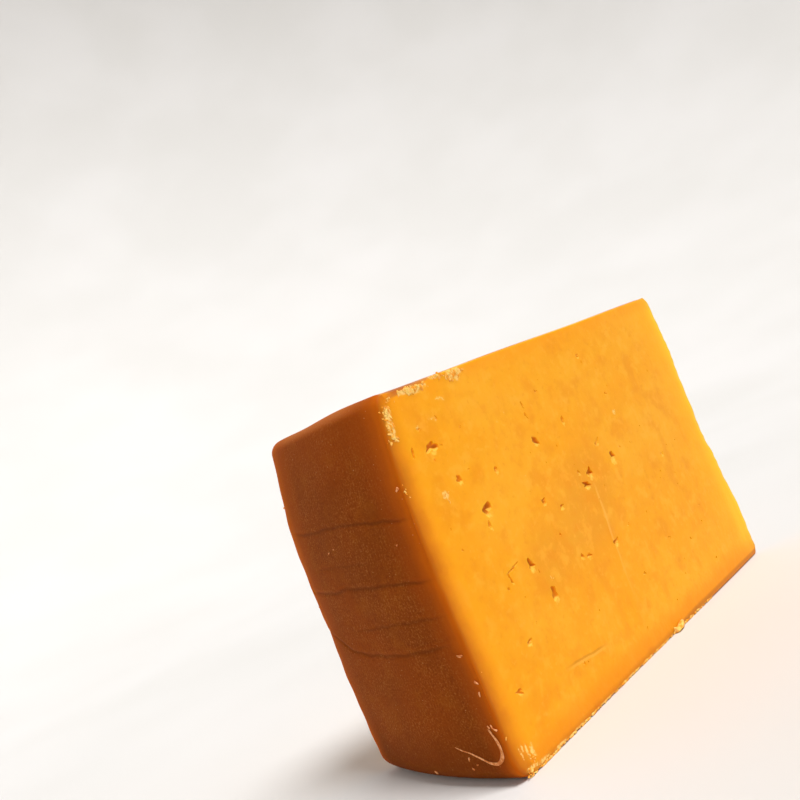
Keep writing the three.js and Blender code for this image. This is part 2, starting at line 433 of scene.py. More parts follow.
@dataclass
class WedgeSkin:
    """The wedge's closed outer skin, before any opening is carved."""

    form: WheelForm
    rows: int = 184
    cut_columns: int = 138
    rind_columns: int = 104
    tip_columns: int = 5
    tip_blunting: float = 0.8 * MM
    tip_swell: float = 0.14 * MM
    tip_notch: float = 1.1 * MM
    notch_span: tuple[float, ...] = (45 * MM, 47 * MM, 49 * MM, 72 * MM)
    tip_corner: float = 1.6 * MM
    flat_step: float = 2.2 * MM
    # Where points lie near an arris, as shares of its rounding. The first is where its two faces meet
    steps_of_wear: tuple[float, ...] = (0.2929, 0.5, 0.741, 1.0)
    # How much closer a cut's points lie at the rind than at the tip
    crowding: float = 1.22
    drag: float = 0.045 * MM
    drag_length: float = 1.9 * MM
    drag_bend: float = 38 * MM
    # The facet line down the near cut: heights, distances from the tip, and the ends it fades at
    facet_up: tuple[float, ...] = (8 * MM, 24 * MM, 37 * MM, 58 * MM)
    facet_along: tuple[float, ...] = (90.6 * MM, 88.2 * MM, 86.9 * MM, 85.2 * MM)
    facet_ends: tuple[float, ...] = (6 * MM, 14 * MM, 50 * MM, 60 * MM)
    facet_ridge: float = 0.1 * MM
    facet_step: float = 0.16 * MM
    facet_width: float = 1.1 * MM

    def spacing(self, first: Array, last: Array, count: int) -> Array:
        """Places from first to last, closer at the first by a power of the share of the way."""
        share = np.linspace(0, 1, count) ** self.crowding
        return first[:, None] + (last - first)[:, None] * share[None, :]

    def cut_side(self, cut: Cut, rows: dict[str, Array], worn: Array) -> Array:
        """Lays a cut face's points, from the rind's arris to the tip, in every row.

        Each row is a straight line from the section's edge to the tip. Its points are close together
        near the arris, where they follow its wear.

        Args:
            cut: The knife cut.
            rows: The section's arrays, one value for each row.
            worn: The arris's rounding in each row.

        Returns:
            A rows by columns by 3 array of places.
        """
        form = self.form
        start = self.steps_of_wear[0] * worn
        edge_r = rows["radius"] - start * np.cos(rows["turn"])
        edge_z = rows["height"] - start * np.sin(rows["turn"])
        near = np.stack([c * worn for c in self.steps_of_wear[:-1]], 1)
        tip_at = rows["tip_" + ("near" if cut is form.near else "far")]
        reach = edge_r + start - tip_at
        rest = self.spacing(worn, reach, self.cut_columns - near.shape[1])
        inward = np.concatenate([near, rest], 1)
        share = (inward - start[:, None]) / (reach - start)[:, None]
        from_axis = edge_r[:, None] - (inward - start[:, None])
        height = edge_z[:, None] + (rows["tip_height"] - edge_z)[:, None] * share
        to_flat = np.minimum(height, form.height - height)
        at_flat = (worn / form.rind_arris_wear)[:, None]
        sink = np.maximum(form.wear(inward, worn[:, None]), form.wear(to_flat, at_flat))
        out = cut.relief(from_axis, height, form.height) - sink
        out = out + self.scratches(cut, from_axis, height)
        x = from_axis * cut.rindward[0] + out * cut.outward[0]
        y = from_axis * cut.rindward[1] + out * cut.outward[1]
        return np.stack([x, y, height], 2)

    def scratches(self, cut: Cut, from_axis: Array, height: Array) -> Array:
        """Fine knife marks: one shallow facet line down the near cut and faint drag waves on both.

        The facet line is a ridge along a bowed line through the cut's middle, a bell curve across it.

        Args:
            cut: The knife cut.
            from_axis: Distance from the wheel's axis along the cut.
            height: Height above the bottom.

        Returns:
            How far the face stands out by these marks.
        """
        bend = 2.2 * np.sin(from_axis / self.drag_bend)
        drag = self.drag * np.sin(height / self.drag_length + bend + cut.phase)
        if cut is not self.form.near:
            return drag
        line = np.interp(height, self.facet_up, self.facet_along)
        low, low_full, high_full, high = self.facet_ends
        along = smooth_step(height, low, low_full) * (1 - smooth_step(height, high_full, high))
        off = (from_axis - line) / self.facet_width
        facet = self.facet_step * (1 - smooth_step(off, 0, 9)) * smooth_step(off, -0.6, 0.6)
        return drag + along * (self.facet_ridge * np.exp(-(off**2)) + facet)

    def rind_side(self, rows: dict[str, Array], near: Array, far: Array) -> Array:
        """Lays the rind's points between its two arrises, in every row.

        Args:
            rows: The section's arrays, one value for each row.
            near: Rounding of the near arris in each row.
            far: Rounding of the far arris in each row.

        Returns:
            A rows by columns by 3 array of places, without the two arrises' own points.
        """
        form = self.form
        radius, height = rows["radius"], rows["height"]
        over_near = form.near.relief(radius, height, form.height)
        over_far = form.far.relief(radius, height, form.height)
        width = 2 * form.half_angle * radius + over_near + over_far
        ends = self.steps_of_wear[1:]
        middle = self.rind_columns - 2 * len(ends)
        low = np.stack([c * near for c in ends], 1)
        high = np.stack([width - c * far for c in reversed(ends)], 1)
        share = np.linspace(0, 1, middle + 2)[1:-1]
        eased = share - 0.06 * np.sin(2 * math.pi * share)
        between = near[:, None] + (width - near - far)[:, None] * eased[None, :]
        across = np.concatenate([low, between, high], 1)
        turn = form.half_angle + (over_near[:, None] - across) / radius[:, None]
        sink = form.wear(across, near[:, None]) + form.wear(width[:, None] - across, far[:, None])
        out = form.rind_relief(radius[:, None], turn, height[:, None]) - sink
        out_r = radius[:, None] + out * np.cos(rows["turn"])[:, None]
        z = height[:, None] + out * np.sin(rows["turn"])[:, None]
        return np.stack([-out_r * np.cos(turn), -out_r * np.sin(turn), z], 2)

    def tip_side(self, near_end: Array, far_end: Array) -> Array:
        """Rounds the tip off between the last points of the two cuts, swelling towards +X.

        Args:
            near_end: The near cut's last point in each row.
            far_end: The far cut's last point in each row.

        Returns:
            A rows by columns by 3 array of places.
        """
        share = np.linspace(0, 1, self.tip_columns + 2)[1:-1][None, :, None]
        line = far_end[:, None, :] * (1 - share) + near_end[:, None, :] * share
        line[:, :, 0] += self.tip_swell * 4 * (share * (1 - share))[:, :, 0]
        return line

    def lateral(self) -> Array:
        """Works out the closed ring of points in every row: near cut, rind, far cut and tip.

        Returns:
            A rows by columns by 3 array of places.
        """
        form = self.form
        radius, height, turn, share = form.section(self.rows)
        rows = {"radius": radius, "height": height, "turn": turn}
        worn_near = form.rind_arris_wear * form.rounding_along(height + radius, 0.7)
        worn_far = form.rind_arris_wear * form.rounding_along(height + radius, 2.6)
        clear = self.steps_of_wear[0] * form.arris_wear
        rows["tip_height"] = clear + (form.height - 2 * clear) * share
        over_near = form.near.relief(np.zeros(self.rows), rows["tip_height"], form.height)
        over_far = form.far.relief(np.zeros(self.rows), rows["tip_height"], form.height)
        slope = math.tan(form.half_angle)
        meet = -(over_near + over_far) / (2 * slope)
        blunt = self.tip_wear(rows["tip_height"])
        rows["tip_near"] = meet + (over_near - over_far) * slope / 2 + blunt
        rows["tip_far"] = meet - (over_near - over_far) * slope / 2 + blunt
        near = self.cut_side(form.near, rows, worn_near)[:, ::-1]
        far = self.cut_side(form.far, rows, worn_far)
        rind = self.rind_side(rows, worn_near, worn_far)
        tip = self.tip_side(near[:, 0], far[:, -1])
        return np.concatenate([near, rind, far, tip], 1)

    def tip_wear(self, up: Array) -> Array:
        """How far the tip is worn back at each height.

        An even blunting, plus slow and quick sine waves, one broad notch and more at its two corners.

        Args:
            up: Height above the bottom.

        Returns:
            Distance from where the two cuts would meet.
        """
        slow = 0.4 * MM * np.sin(up / (4.3 * MM)) * np.sin(up / (17 * MM))
        quick = 0.3 * MM * np.sin(up / (1.7 * MM) + 2 * np.sin(up / (7 * MM))) ** 2
        notch_low, notch_deep, notch_ends, notch_high = self.notch_span
        notch = smooth_step(up, notch_low, notch_deep) * (1 - smooth_step(up, notch_ends, notch_high))
        from_flat = np.minimum(up, self.form.height - up)
        corner = self.tip_corner * (1 - smooth_step(from_flat, 0, 3 * MM))
        return self.tip_blunting + slow + quick + self.tip_notch * notch + corner

    def flat_inside(self, ring: Array) -> Array:
        """Strews points inside a flat face's ring, in rows parallel to its edges and a grid between them.

        Args:
            ring: The ring's places, as an n by 3 array.

        Returns:
            An m by 2 array of plan places, clear of the ring.
        """
        form = self.form
        reach = ring[:, 0].min()
        x = np.arange(reach + 1.2 * MM, -8 * MM, self.flat_step)
        y = np.arange(-36 * MM, 36 * MM, self.flat_step)
        grid_x, grid_y = [a.ravel() for a in np.meshgrid(x, y)]
        grid_y = grid_y + (np.round(grid_x / self.flat_step) % 2) * self.flat_step / 2
        room = np.minimum(self.depth_in(form.near, grid_x, grid_y), self.depth_in(form.far, grid_x, grid_y))
        rim = np.abs(ring[:, 0] + 1j * ring[:, 1]).max()
        keep = (room > 1.9 * MM) & (np.hypot(grid_x, grid_y) < rim - 1.6 * MM)
        inner = np.stack([grid_x[keep], grid_y[keep]], 1)
        along = np.arange(9 * MM, rim - 2 * MM, 1.5 * MM)
        strips = []
        for cut in (form.near, form.far):
            for offset in (0.75 * MM, 1.25 * MM):
                strips.append(np.outer(along, cut.rindward) - offset * np.array(cut.outward))
        return np.concatenate([inner, *strips])

    def depth_in(self, cut: Cut, x: Array, y: Array) -> Array:
        """How far a plan place lies inside a cut's plane."""
        return -(x * cut.outward[0] + y * cut.outward[1])

    def flat_height(self, at: Array, top: bool) -> Array:
        """Works out the height of a flat face's inner points: level at the bottom, softly hollow at the top.

        Args:
            at: Plan places, n by 2.
            top: Whether the face is the top.

        Returns:
            The height of each place.
        """
        near = self.depth_in(self.form.near, at[:, 0], at[:, 1])
        far = self.depth_in(self.form.far, at[:, 0], at[:, 1])
        sink = self.form.wear(np.minimum(near, far), np.full(len(at), self.form.arris_wear))
        if not top:
            return sink
        return self.form.height - self.form.top_hollow(at[:, 0], at[:, 1]) - sink

    def build(self) -> tuple[Array, list[tuple[int, ...]]]:
        """Joins the ring's rows and the two flat faces into one closed skin.

        Returns:
            The skin's points and its faces.
        """
        ring = self.lateral()
        rows, columns = ring.shape[:2]
        faces = ring_faces(rows, columns)
        near_top = 1 - smooth_step(self.form.height - ring[..., 2], 0, 2.5 * MM)
        ring[..., 2] -= near_top * self.form.top_hollow(ring[..., 0], ring[..., 1])
        points = [ring.reshape(-1, 3)]
        for top, first in ((False, 0), (True, (rows - 1) * columns)):
            edge = ring[-1 if top else 0]
            inside = self.flat_inside(edge)
            plan = np.concatenate([edge[:, :2], inside])
            loop = [(i, (i + 1) % columns) for i in range(columns)]
            _, _, tris, origin, _, _ = delaunay_2d_cdt([Vector(p) for p in plan.tolist()], loop, [], 1, 1e-7)
            base = sum(len(p) for p in points)
            index = np.array([o[0] for o in origin])
            index = np.where(index < columns, first + index, base + index - columns)
            points.append(np.column_stack([inside, self.flat_height(inside, top)]))
            turned = index[np.array(tris)]
            faces += [tuple(t) for t in (turned if top else turned[:, ::-1]).tolist()]
        return self.form.soften_corner(np.concatenate(points)), faces


class LumpKind(Enum):
    """How wavy and how spiky a lump is: an opening left between curds, or a broken crumb."""

    OPENING = (0.22, 0.5)
    CRUMB = (0.25, 0.15)


@dataclass
class Lumps:
    """Rough closed lumps, made many at a time as joined meshes."""

    kind: LumpKind
    around: int = 14
    down: int = 8
    draw: np.random.Generator = field(default_factory=lambda: np.random.default_rng(SEED))

    def faces(self) -> Array:
        """Joins one lump's points by triangles, on rings between two poles.

        Returns:
            An n by 3 array of corner indices.
        """
        ring = np.arange(self.around)
        after = (ring + 1) % self.around
        top = np.stack([np.zeros_like(ring), 1 + ring, 1 + after], 1)
        rings = []
        for i in range(self.down - 2):
            low, high = 1 + i * self.around, 1 + (i + 1) * self.around
            rings += [
                np.stack([low + ring, high + ring, high + after], 1),
                np.stack([low + ring, high + after, low + after], 1),
            ]
        last = 1 + (self.down - 2) * self.around
        pole = last + self.around
        bottom = np.stack([last + ring, np.full_like(ring, pole), last + after], 1)
        return np.concatenate([top, *rings, bottom])

    def build(self, places: Array, axes: Array, sizes: Array) -> tuple[Array, Array]:
        """Makes lumps whose radius is a sphere's times 1 plus waves and spikes.

        The waves are sines of both its angles. The spikes are third powers of raised sines round it.

        Args:
            places: The lumps' middles, n by 3.
            axes: Their own three axes, n by 3 by 3, one axis in each row.
            sizes: Half of their length along each axis, n by 3.

        Returns:
            All points and all triangles.
        """
        count = len(places)
        turn = np.linspace(0, 2 * math.pi, self.around, endpoint=False)
        fall = np.linspace(0, math.pi, self.down + 1)[1:-1]
        fall, turn = [a.ravel() for a in np.meshgrid(fall, turn, indexing="ij")]
        turn = np.concatenate([[0], turn, [0]])
        fall = np.concatenate([[0], fall, [math.pi]])
        phase = self.draw.uniform(0, 2 * math.pi, (8, count, 1))
        rough, spiky = self.kind.value
        grown = 1 + rough * np.sin(fall) * np.sin(2 * turn + phase[0])
        grown = grown + rough * np.sin(fall) ** 2 * np.sin(3 * turn + phase[1])
        grown = grown + 0.6 * rough * np.sin(3 * fall + phase[2]) * np.cos(phase[3])
        grown = grown + 0.45 * rough * np.sin(fall) ** 2 * np.sin(5 * turn + 2 * fall + phase[4])
        three = (0.5 + 0.5 * np.sin(3 * turn + phase[5])) ** 3 * (0.6 + 0.4 * np.sin(turn + phase[7]))
        five = (0.5 + 0.5 * np.sin(5 * turn + phase[6])) ** 3 * (0.5 - 0.5 * np.sin(turn + phase[7]))
        grown = grown + spiky * np.sin(fall) ** 2 * (three + 0.8 * five)
        unit = np.stack([np.sin(fall) * np.cos(turn), np.sin(fall) * np.sin(turn), np.cos(fall)], 1)
        own = unit[None] * grown[..., None] * sizes[:, None, :]
        points = places[:, None, :] + np.einsum("npk,nkd->npd", own, axes)
        one = self.faces()
        faces = one[None] + (np.arange(count) * len(unit))[:, None, None]
        return points.reshape(-1, 3), faces.reshape(-1, 3)


@dataclass
class CutFace:
    """Turns places on a cut face into places in space."""

    form: WheelForm
    cut: Cut

    def place(self, from_axis: Array, height: Array, out: Array) -> Array:
        """Puts places on the cut, a distance out of its surface.

        Args:
            from_axis: Distance from the wheel's axis.
            height: Height above the bottom.
            out: Distance out of the face.

        Returns:
            An n by 3 array of places.
        """
        form = self.form
        to_flat = np.maximum(np.minimum(height, form.height - height), 0)
        to_rind = np.maximum(form.side_radius(height) - from_axis, 0)
        worn = np.maximum(
            form.wear(to_flat, np.full(len(to_flat), form.arris_wear)),
            form.wear(to_rind, np.full(len(to_rind), form.arris_wear * form.rind_arris_wear)),
        )
        off = self.cut.relief(from_axis, height, form.height) - worn + out
        x = from_axis * self.cut.rindward[0] + off * self.cut.outward[0]
        y = from_axis * self.cut.rindward[1] + off * self.cut.outward[1]
        return form.soften_corner(np.stack([x, y, height], 1))

    def axes(self, turn: Array) -> Array:
        """Works out the axes of things that lie on the cut: across, up and outward, turned in the face.

        Args:
            turn: The angle of each thing, in radians.

        Returns:
            Three axes for each thing, n by 3 by 3, one axis in each row.
        """
        tipward = np.array([-self.cut.rindward[0], -self.cut.rindward[1], 0.0])
        up = np.array([0.0, 0.0, 1.0])
        out = np.array([*self.cut.outward, 0.0])
        c, s = np.cos(turn)[:, None], np.sin(turn)[:, None]
        first = c * tipward + s * up
        second = c * up - s * tipward
        third = np.broadcast_to(out, first.shape)
        if self.cut is self.form.far:
            second = -second
        return np.stack([first, second, third], 1)


@dataclass
class Openings:
    """Small openings between the curds, where the knife laid them open."""

    form: WheelForm
    small_near: int = 46
    small_far: int = 96
    # The clearest openings of the near cut: distance from the tip, height, width and tallness in mm, turn
    # in degrees and depth in mm
    clear: tuple[tuple[float, ...], ...] = (
        (153.4, 90.9, 4.4, 2.6, 12, 1.6),
        (161.5, 91.4, 1.1, 3.2, -10, 0.9),
        (147.9, 79.4, 2.6, 1.9, -38, 1.2),
        (130.8, 77.0, 1.6, 1.7, 0, 1.2),
        (141.7, 68.2, 3.6, 3.4, 20, 2.2),
        (143.5, 63.9, 1.2, 2.6, 5, 0.9),
        (106.5, 79.2, 3.8, 2.1, -22, 1.6),
        (105.4, 91.2, 0.8, 3.0, 14, 0.9),
        (105.8, 87.6, 0.9, 2.4, 24, 0.9),
        (88.1, 81.3, 1.5, 2.6, 0, 0.9),
        (74.6, 69.2, 3.4, 1.3, 38, 1.2),
        (68.7, 62.3, 3.6, 3.4, 0, 2.2),
        (85.4, 61.7, 2.6, 3.2, -15, 2.0),
        (89.8, 58.8, 4.6, 2.0, -10, 1.8),
        (91.3, 63.8, 1.4, 1.5, 0, 0.8),
        (115.1, 61.5, 2.3, 1.7, 0, 1.3),
        (107.1, 57.1, 2.7, 1.2, 14, 1.2),
        (113.9, 50.0, 0.9, 1.5, 0, 0.8),
        (86.4, 37.6, 3.3, 2.0, 12, 1.5),
        (75.5, 39.7, 1.4, 1.0, 20, 0.9),
        (107.2, 40.4, 1.5, 1.8, 0, 1.2),
        (103.4, 39.2, 2.3, 1.5, 0, 1.1),
        (133.0, 47.5, 2.8, 3.0, 0, 2.1),
        (141.9, 49.7, 5.4, 0.8, 10, 1.1),
        (144.3, 48.2, 0.8, 2.4, 12, 1.0),
        (144.0, 46.7, 1.3, 1.3, 0, 1.0),
        (146.5, 45.3, 1.1, 1.6, 0, 0.9),
        (127.8, 36.4, 3.2, 3.6, 0, 1.3),
        (146.9, 29.6, 2.4, 1.5, 8, 1.1),
        (158.8, 20.4, 3.2, 1.3, -16, 1.0),
        (64.6, 98.8, 1.9, 1.2, 10, 0.9),
        (63.7, 96.2, 0.9, 1.0, 0, 0.7),
        (78.0, 23.0, 1.9, 1.0, 14, 0.8),
        (37.0, 53.9, 1.5, 1.2, 0, 0.7),
        (42.0, 22.2, 1.2, 1.2, 0, 0.6),
        (158.2, 61.7, 0.9, 0.9, 0, 0.7),
        (138.2, 92.8, 1.0, 0.7, 0, 0.6),
        (155.7, 96.8, 1.6, 0.9, 12, 0.6),
        (146.8, 97.9, 0.9, 1.3, 20, 0.6),
    )
    # Nicks in the far arris of the rind
    far_nicks: tuple[tuple[float, ...], ...] = (
        (172.6, 62.2, 1.9, 2.4, 20, 1.3),
        (172.3, 57.0, 1.3, 1.3, 0, 0.9),
        (171.6, 69.4, 1.2, 1.9, -15, 0.8),
        (171.0, 34.0, 1.3, 1.1, 0, 0.8),
    )
    # Where strewn openings lie, and their sizes, in mm
    strewn_along: tuple[float, float] = (22, 164)
    strewn_up: tuple[float, float] = (6, 104)
    smallest: float = 0.7
    largest_near: float = 1.5
    largest_far: float = 4.6
    tall_share: float = 0.4
    squash: tuple[float, float] = (0.35, 1.0)
    largest_turn: float = 50
    # Half of a lump's length along each of its axes, as a share of the opening's width, tallness and depth
    lump_shares: tuple[float, ...] = (0.47, 0.47, 0.6)

    def strewn(self, draw: np.random.Generator, count: int, largest: float) -> Array:
        """Draws more openings over a face: many small and few large, slits among them.

        Args:
            draw: Where random numbers come from.
            count: How many openings.
            largest: Largest size in mm.

        Returns:
            Rows like those of the clearest openings.
        """
        from_tip = draw.uniform(*self.strewn_along, count)
        height = draw.uniform(*self.strewn_up, count)
        size = self.smallest + (largest - self.smallest) * draw.uniform(0, 1, count) ** 3
        squash = draw.uniform(*self.squash, count)
        turn = draw.uniform(-self.largest_turn, self.largest_turn, count)
        tall = draw.uniform(0, 1, count) < self.tall_share
        width = np.where(tall, size * squash, size)
        tallness = np.where(tall, size, size * squash)
        return np.stack([from_tip, height, width, tallness, turn, 0.35 * size + 0.2], 1)

    def crowded(self, rows: Array, gap: float = 0.4) -> Array:
        """Finds each opening that isn't clear of all those before it by a gap in mm.

        Args:
            rows: Openings, one row for each.
            gap: Least gap in mm.

        Returns:
            Whether each opening is too close to one before it.
        """
        reach = 0.62 * np.maximum(rows[:, 2], rows[:, 3])
        off = np.hypot(rows[:, None, 0] - rows[None, :, 0], rows[:, None, 1] - rows[None, :, 1])
        close = off < reach[:, None] + reach[None, :] + gap
        return np.tril(close, -1).any(1)

    def cutters(self) -> list[bpy.types.Object]:
        """Makes the lumps that are carved out of the wedge, in rounds.

        The first round has all openings that are clear of one another. Measured ones that meet them come
        in later rounds, so that no two lumps of a round touch.

        Returns:
            One object for each round.
        """
        draw = np.random.default_rng(SEED)
        near = np.concatenate([np.array(self.clear), self.strewn(draw, self.small_near, self.largest_near)])
        far = np.concatenate([np.array(self.far_nicks), self.strewn(draw, self.small_far, self.largest_far)])
        near_crowded, far_crowded = self.crowded(near), self.crowded(far)
        left = near[: len(self.clear)][near_crowded[: len(self.clear)]]
        rounds = [((self.form.near, near[~near_crowded]), (self.form.far, far[~far_crowded]))]
        while len(left):
            again = self.crowded(left)
            rounds.append(((self.form.near, left[~again]),))
            left = left[again]
        return [self.cutter(draw, sides) for sides in rounds]

    def cutter(self, draw: np.random.Generator, sides: tuple[tuple[Cut, Array], ...]) -> bpy.types.Object:
        """Makes one object of the lumps of a round.

        Args:
            draw: Where random numbers come from.
            sides: Each cut with its openings.

        Returns:
            The lumps' object.
        """
        points, faces, base = [], [], 0
        for cut, rows in sides:
            face = CutFace(self.form, cut)
            from_axis, height, width, tallness, turn, depth = rows.T
            places = face.place(from_axis * MM, height * MM, 0.12 * depth * MM)
            sizes = np.stack([width, tallness, depth], 1) * np.array(self.lump_shares) * MM
            lumps = Lumps(LumpKind.OPENING, 22, 10, draw)
            made, corners = lumps.build(places, face.axes(np.radians(turn)), sizes)
            points.append(made)
            faces.append(corners + base)
            base += len(made)
        return new_piece("openings_cutter", np.concatenate(points), np.concatenate(faces))


def carve(body: bpy.types.Object, cutter: bpy.types.Object) -> None:
    """Takes the cutter's lumps out of a body and removes the cutter.

    Args:
        body: The closed piece to carve.
        cutter: Closed lumps, joined in one object.
    """
    modifier = body.modifiers.new("carve", "BOOLEAN")
    modifier.operation = "DIFFERENCE"
    modifier.solver = "MANIFOLD"
    modifier.object = cutter
    evaluated = body.evaluated_get(bpy.context.evaluated_depsgraph_get())
    carved = bpy.data.meshes.new_from_object(evaluated)
    body.modifiers.clear()
    body.data = carved
    bpy.data.objects.remove(cutter)


@dataclass
class Wedge:
    """The wedge itself: skin, openings and the measures that its finish reads."""

    form: WheelForm
    shift: Array = field(default_factory=lambda: np.zeros(3))
    # Torn spots of the near cut: distance from the tip, height, width and tallness in mm, and how torn
    torn_spots: tuple[tuple[float, ...], ...] = (
        (165.8, 100.4, 1.4, 3.6, 1.0), (164.4, 104.6, 1.2, 1.6, 0.8), (156.0, 107.9, 2.4, 0.8, 0.9),
        (150.6, 107.5, 3.2, 1.3, 1.0), (146.0, 107.9, 1.6, 0.6, 0.7), (140.5, 109.2, 2.2, 0.8, 1.0),
        (132.0, 108.0, 3.4, 1.7, 1.0), (129.0, 108.4, 1.8, 0.9, 0.6), (130.5, 106.0, 1.0, 1.4, 0.5),
        (142.8, 102.9, 1.8, 0.8, 0.6), (140.6, 102.0, 1.3, 1.0, 0.5), (149.2, 98.5, 1.6, 0.7, 0.6),
        (147.2, 97.3, 1.2, 1.0, 0.55), (120.8, 89.8, 1.0, 0.6, 0.62), (118.0, 87.6, 0.8, 0.7, 0.62),
        (113.2, 88.9, 1.0, 0.6, 0.55), (116.2, 91.2, 0.7, 0.8, 0.55), (155.7, 97.5, 1.8, 1.0, 0.5),
        (57.1, 75.5, 1.1, 1.1, 0.9), (155.8, 77.2, 1.4, 1.3, 1.0), (119.0, 71.0, 1.6, 0.8, 0.4),
        (167.6, 7.4, 0.35, 2.2, 1.0), (166.3, 7.6, 0.3, 1.6, 1.0), (165.0, 6.6, 0.35, 2.6, 1.0),
        (163.6, 6.4, 0.3, 2.0, 1.0), (162.4, 5.6, 0.4, 2.4, 1.0), (161.2, 5.0, 0.3, 1.5, 0.9),
        (166.0, 2.2, 2.6, 0.7, 0.8), (160.0, 1.4, 3.2, 0.7, 0.8), (151, 1.0, 3.8, 0.6, 0.7),
        (140, 0.7, 5.4, 0.5, 0.7), (124, 0.6, 6.4, 0.4, 0.7), (108, 0.6, 6.4, 0.4, 0.6),
    )
    # Torn spots of the far cut, given likewise
    far_torn_spots: tuple[tuple[float, ...], ...] = (
        (160.0, 108.4, 3.6, 0.8, 0.9), (169.4, 88.0, 0.9, 3.0, 0.9), (118.0, 109.0, 4.4, 0.6, 0.8),
        (92.0, 41.0, 1.4, 1.1, 0.9), (61.0, 83.0, 1.2, 1.2, 0.8), (138.0, 66.0, 1.3, 1.0, 0.9),
        (104.0, 24.0, 2.4, 1.2, 0.5), (145.0, 34.0, 2.0, 1.4, 0.5), (80.0, 72.0, 2.2, 1.2, 0.5),
        (166.0, 2.0, 2.4, 0.8, 0.8), (140.0, 0.8, 6.0, 0.5, 0.7), (96.0, 0.7, 6.0, 0.4, 0.6),
        (30.0, 108.6, 2.6, 0.7, 0.7), (152.0, 82.0, 0.4, 2.6, 0.7), (150.6, 83.0, 0.3, 2.0, 0.7),
    )
    # Broad spots of the near cut where its curd is a little browner
    shade_spots: tuple[tuple[float, ...], ...] = (
        (98, 50, 20, 20, 0.9), (126, 45, 13, 13, 0.8), (84, 60, 12, 12, 0.7), (114, 82, 14, 14, 0.35),
        (49, 14, 14, 14, 0.3), (70, 78, 12, 12, 0.4),
    )
    # The brown of the top rim reaches further down towards the rind, and the brown of the bottom rim, partly
    # smoke and partly painted shade,
    # further up towards the tip: how much, in mm, and between which distances from the tip
    rim_reach: float = 2.8
    rim_span: tuple[float, float] = (122 * MM, 168 * MM)
    low_rim_reach: float = 2.2
    low_rim_span: tuple[float, float] = (55 * MM, 95 * MM)
    # Depth of the surface that a mark of one cut covers, and least size of an opening with a pale lip, in mm
    mark_depth: float = 2 * MM
    least_lip: float = 1.2
    sharp_angle: float = math.radians(50)

    def build(self) -> bpy.types.Object:
        """Makes the carved wedge, set against the rind end of the CAD solid.

        Returns:
            The wedge's object.
        """
        points, faces = WedgeSkin(self.form).build()
        low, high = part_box(NODE)
        sideways = (low.y + high.y - points[:, 1].min() - points[:, 1].max()) / 2
        self.shift = np.array([low.x - points[:, 0].min(), sideways, 0])
        wedge = new_piece("smoked_wedge", points, faces)
        log.info("skin: %d faces", len(wedge.data.polygons))
        for cutter in Openings(self.form).cutters():
            carve(wedge, cutter)
        wedge.data.name = "smoked_wedge"
        self.measure(wedge)
        wedge.data.transform(Matrix.Translation(Vector(self.shift)))
        wedge.data.set_sharp_from_angle(angle=self.sharp_angle)
        return wedge

    def measure(self, wedge: bpy.types.Object) -> None:
        """Stores, for each point, where it lies in the cheese, in mm, for the finish to follow.

        Args:
            wedge: The carved wedge, about the wheel's own axis.
        """
        form = self.form
        x, y, z = mesh_points(wedge).T
        radius, turn = np.hypot(x, y), np.arctan2(-y, -x)
        level = np.clip(z, 0, form.height)
        from_side = form.side_radius(level) + form.rind_relief(radius, turn, level) - radius
        low_corner = self.rounding_gap(from_side, z, form.foot_rounding)
        high_corner = self.rounding_gap(from_side, form.height - z, form.top_rounding)
        crust_in = np.minimum(np.maximum(from_side, 0), np.minimum(low_corner, high_corner))
        flat_in = np.maximum(np.minimum(z, form.height - z), 0)
        near_in, far_in = self.depth_in(form.near, x, y, z), self.depth_in(form.far, x, y, z)
        cut_in = np.maximum(np.minimum(near_in, far_in), 0)
        degrees = np.degrees(form.half_angle - turn)
        # How strongly painted shade darkens each crease's groove, from its depth and its shade weight
        groove = sum(crease.groove(degrees, z) / crease.depth * crease.shade for crease in form.creases)
        along = x * form.near.rindward[0] + y * form.near.rindward[1]
        far_along = x * form.far.rindward[0] + y * form.far.rindward[1]
        inner = np.minimum(np.minimum(crust_in, flat_in), cut_in)
        normal = np.empty(len(x) * 3, np.float32)
        wedge.data.vertex_normals.foreach_get("vector", normal)
        skyward = normal.reshape(-1, 3)[:, 2]
        on_near, on_far = near_in < self.mark_depth, far_in < self.mark_depth
        torn = self.spots(along, z, self.torn_spots) * on_near
        far_torn = self.spots(far_along, z, self.far_torn_spots) * on_far
        rim_reach = self.rim_reach * smooth_step(along, *self.rim_span)
        low_rim_reach = self.low_rim_reach * (1 - smooth_step(along, *self.low_rim_span))
        for name, values in {
            "crust_in": crust_in / MM,
            "flat_in": flat_in / MM,
            "low_in": z / MM,
            "top_in": (form.height - z) / MM,
            "cut_in": cut_in / MM,
            "glow": cut_in / MM * (0.85 + 1.1 * (1 - z / form.height) ** 2),
            "tip_in": radius / MM,
            "along": along / MM,
            "up": z / MM,
            # Depth below the surface, which sets the painted shade inside the openings
            "inner": inner / MM,
            # Upward-facing floors inside openings, which get a painted highlight
            "lit_floor": smooth_step(inner, 0.05 * MM, 0.3 * MM) * np.clip(skyward, 0, 1),
            "torn": np.maximum(torn, far_torn),
            "shade": self.spots(along, z, self.shade_spots) * on_near,
            "rim_in": (form.height - z) / MM - rim_reach,
            "low_rim": z / MM - low_rim_reach,
            # Spots below the clearest openings, which get a painted highlight on their lower lips
            "lip": self.spots(along, z, self.lips()) * on_near,
            "crease": np.clip(groove, 0, 1) * (1 - smooth_step(from_side, 1.0 * MM, 2.5 * MM)),
        }.items():
            write_attribute(wedge, name, values)

    def depth_in(self, cut: Cut, x: Array, y: Array, z: Array) -> Array:
        """Works out how far places lie in from a cut's surface.

        Args:
            cut: The knife cut.
            x: Place along X.
            y: Place along Y.
            z: Place along Z.

        Returns:
            The depth of each place.
        """
        from_axis = x * cut.rindward[0] + y * cut.rindward[1]
        out = x * cut.outward[0] + y * cut.outward[1]
        return cut.relief(from_axis, z, self.form.height) - out

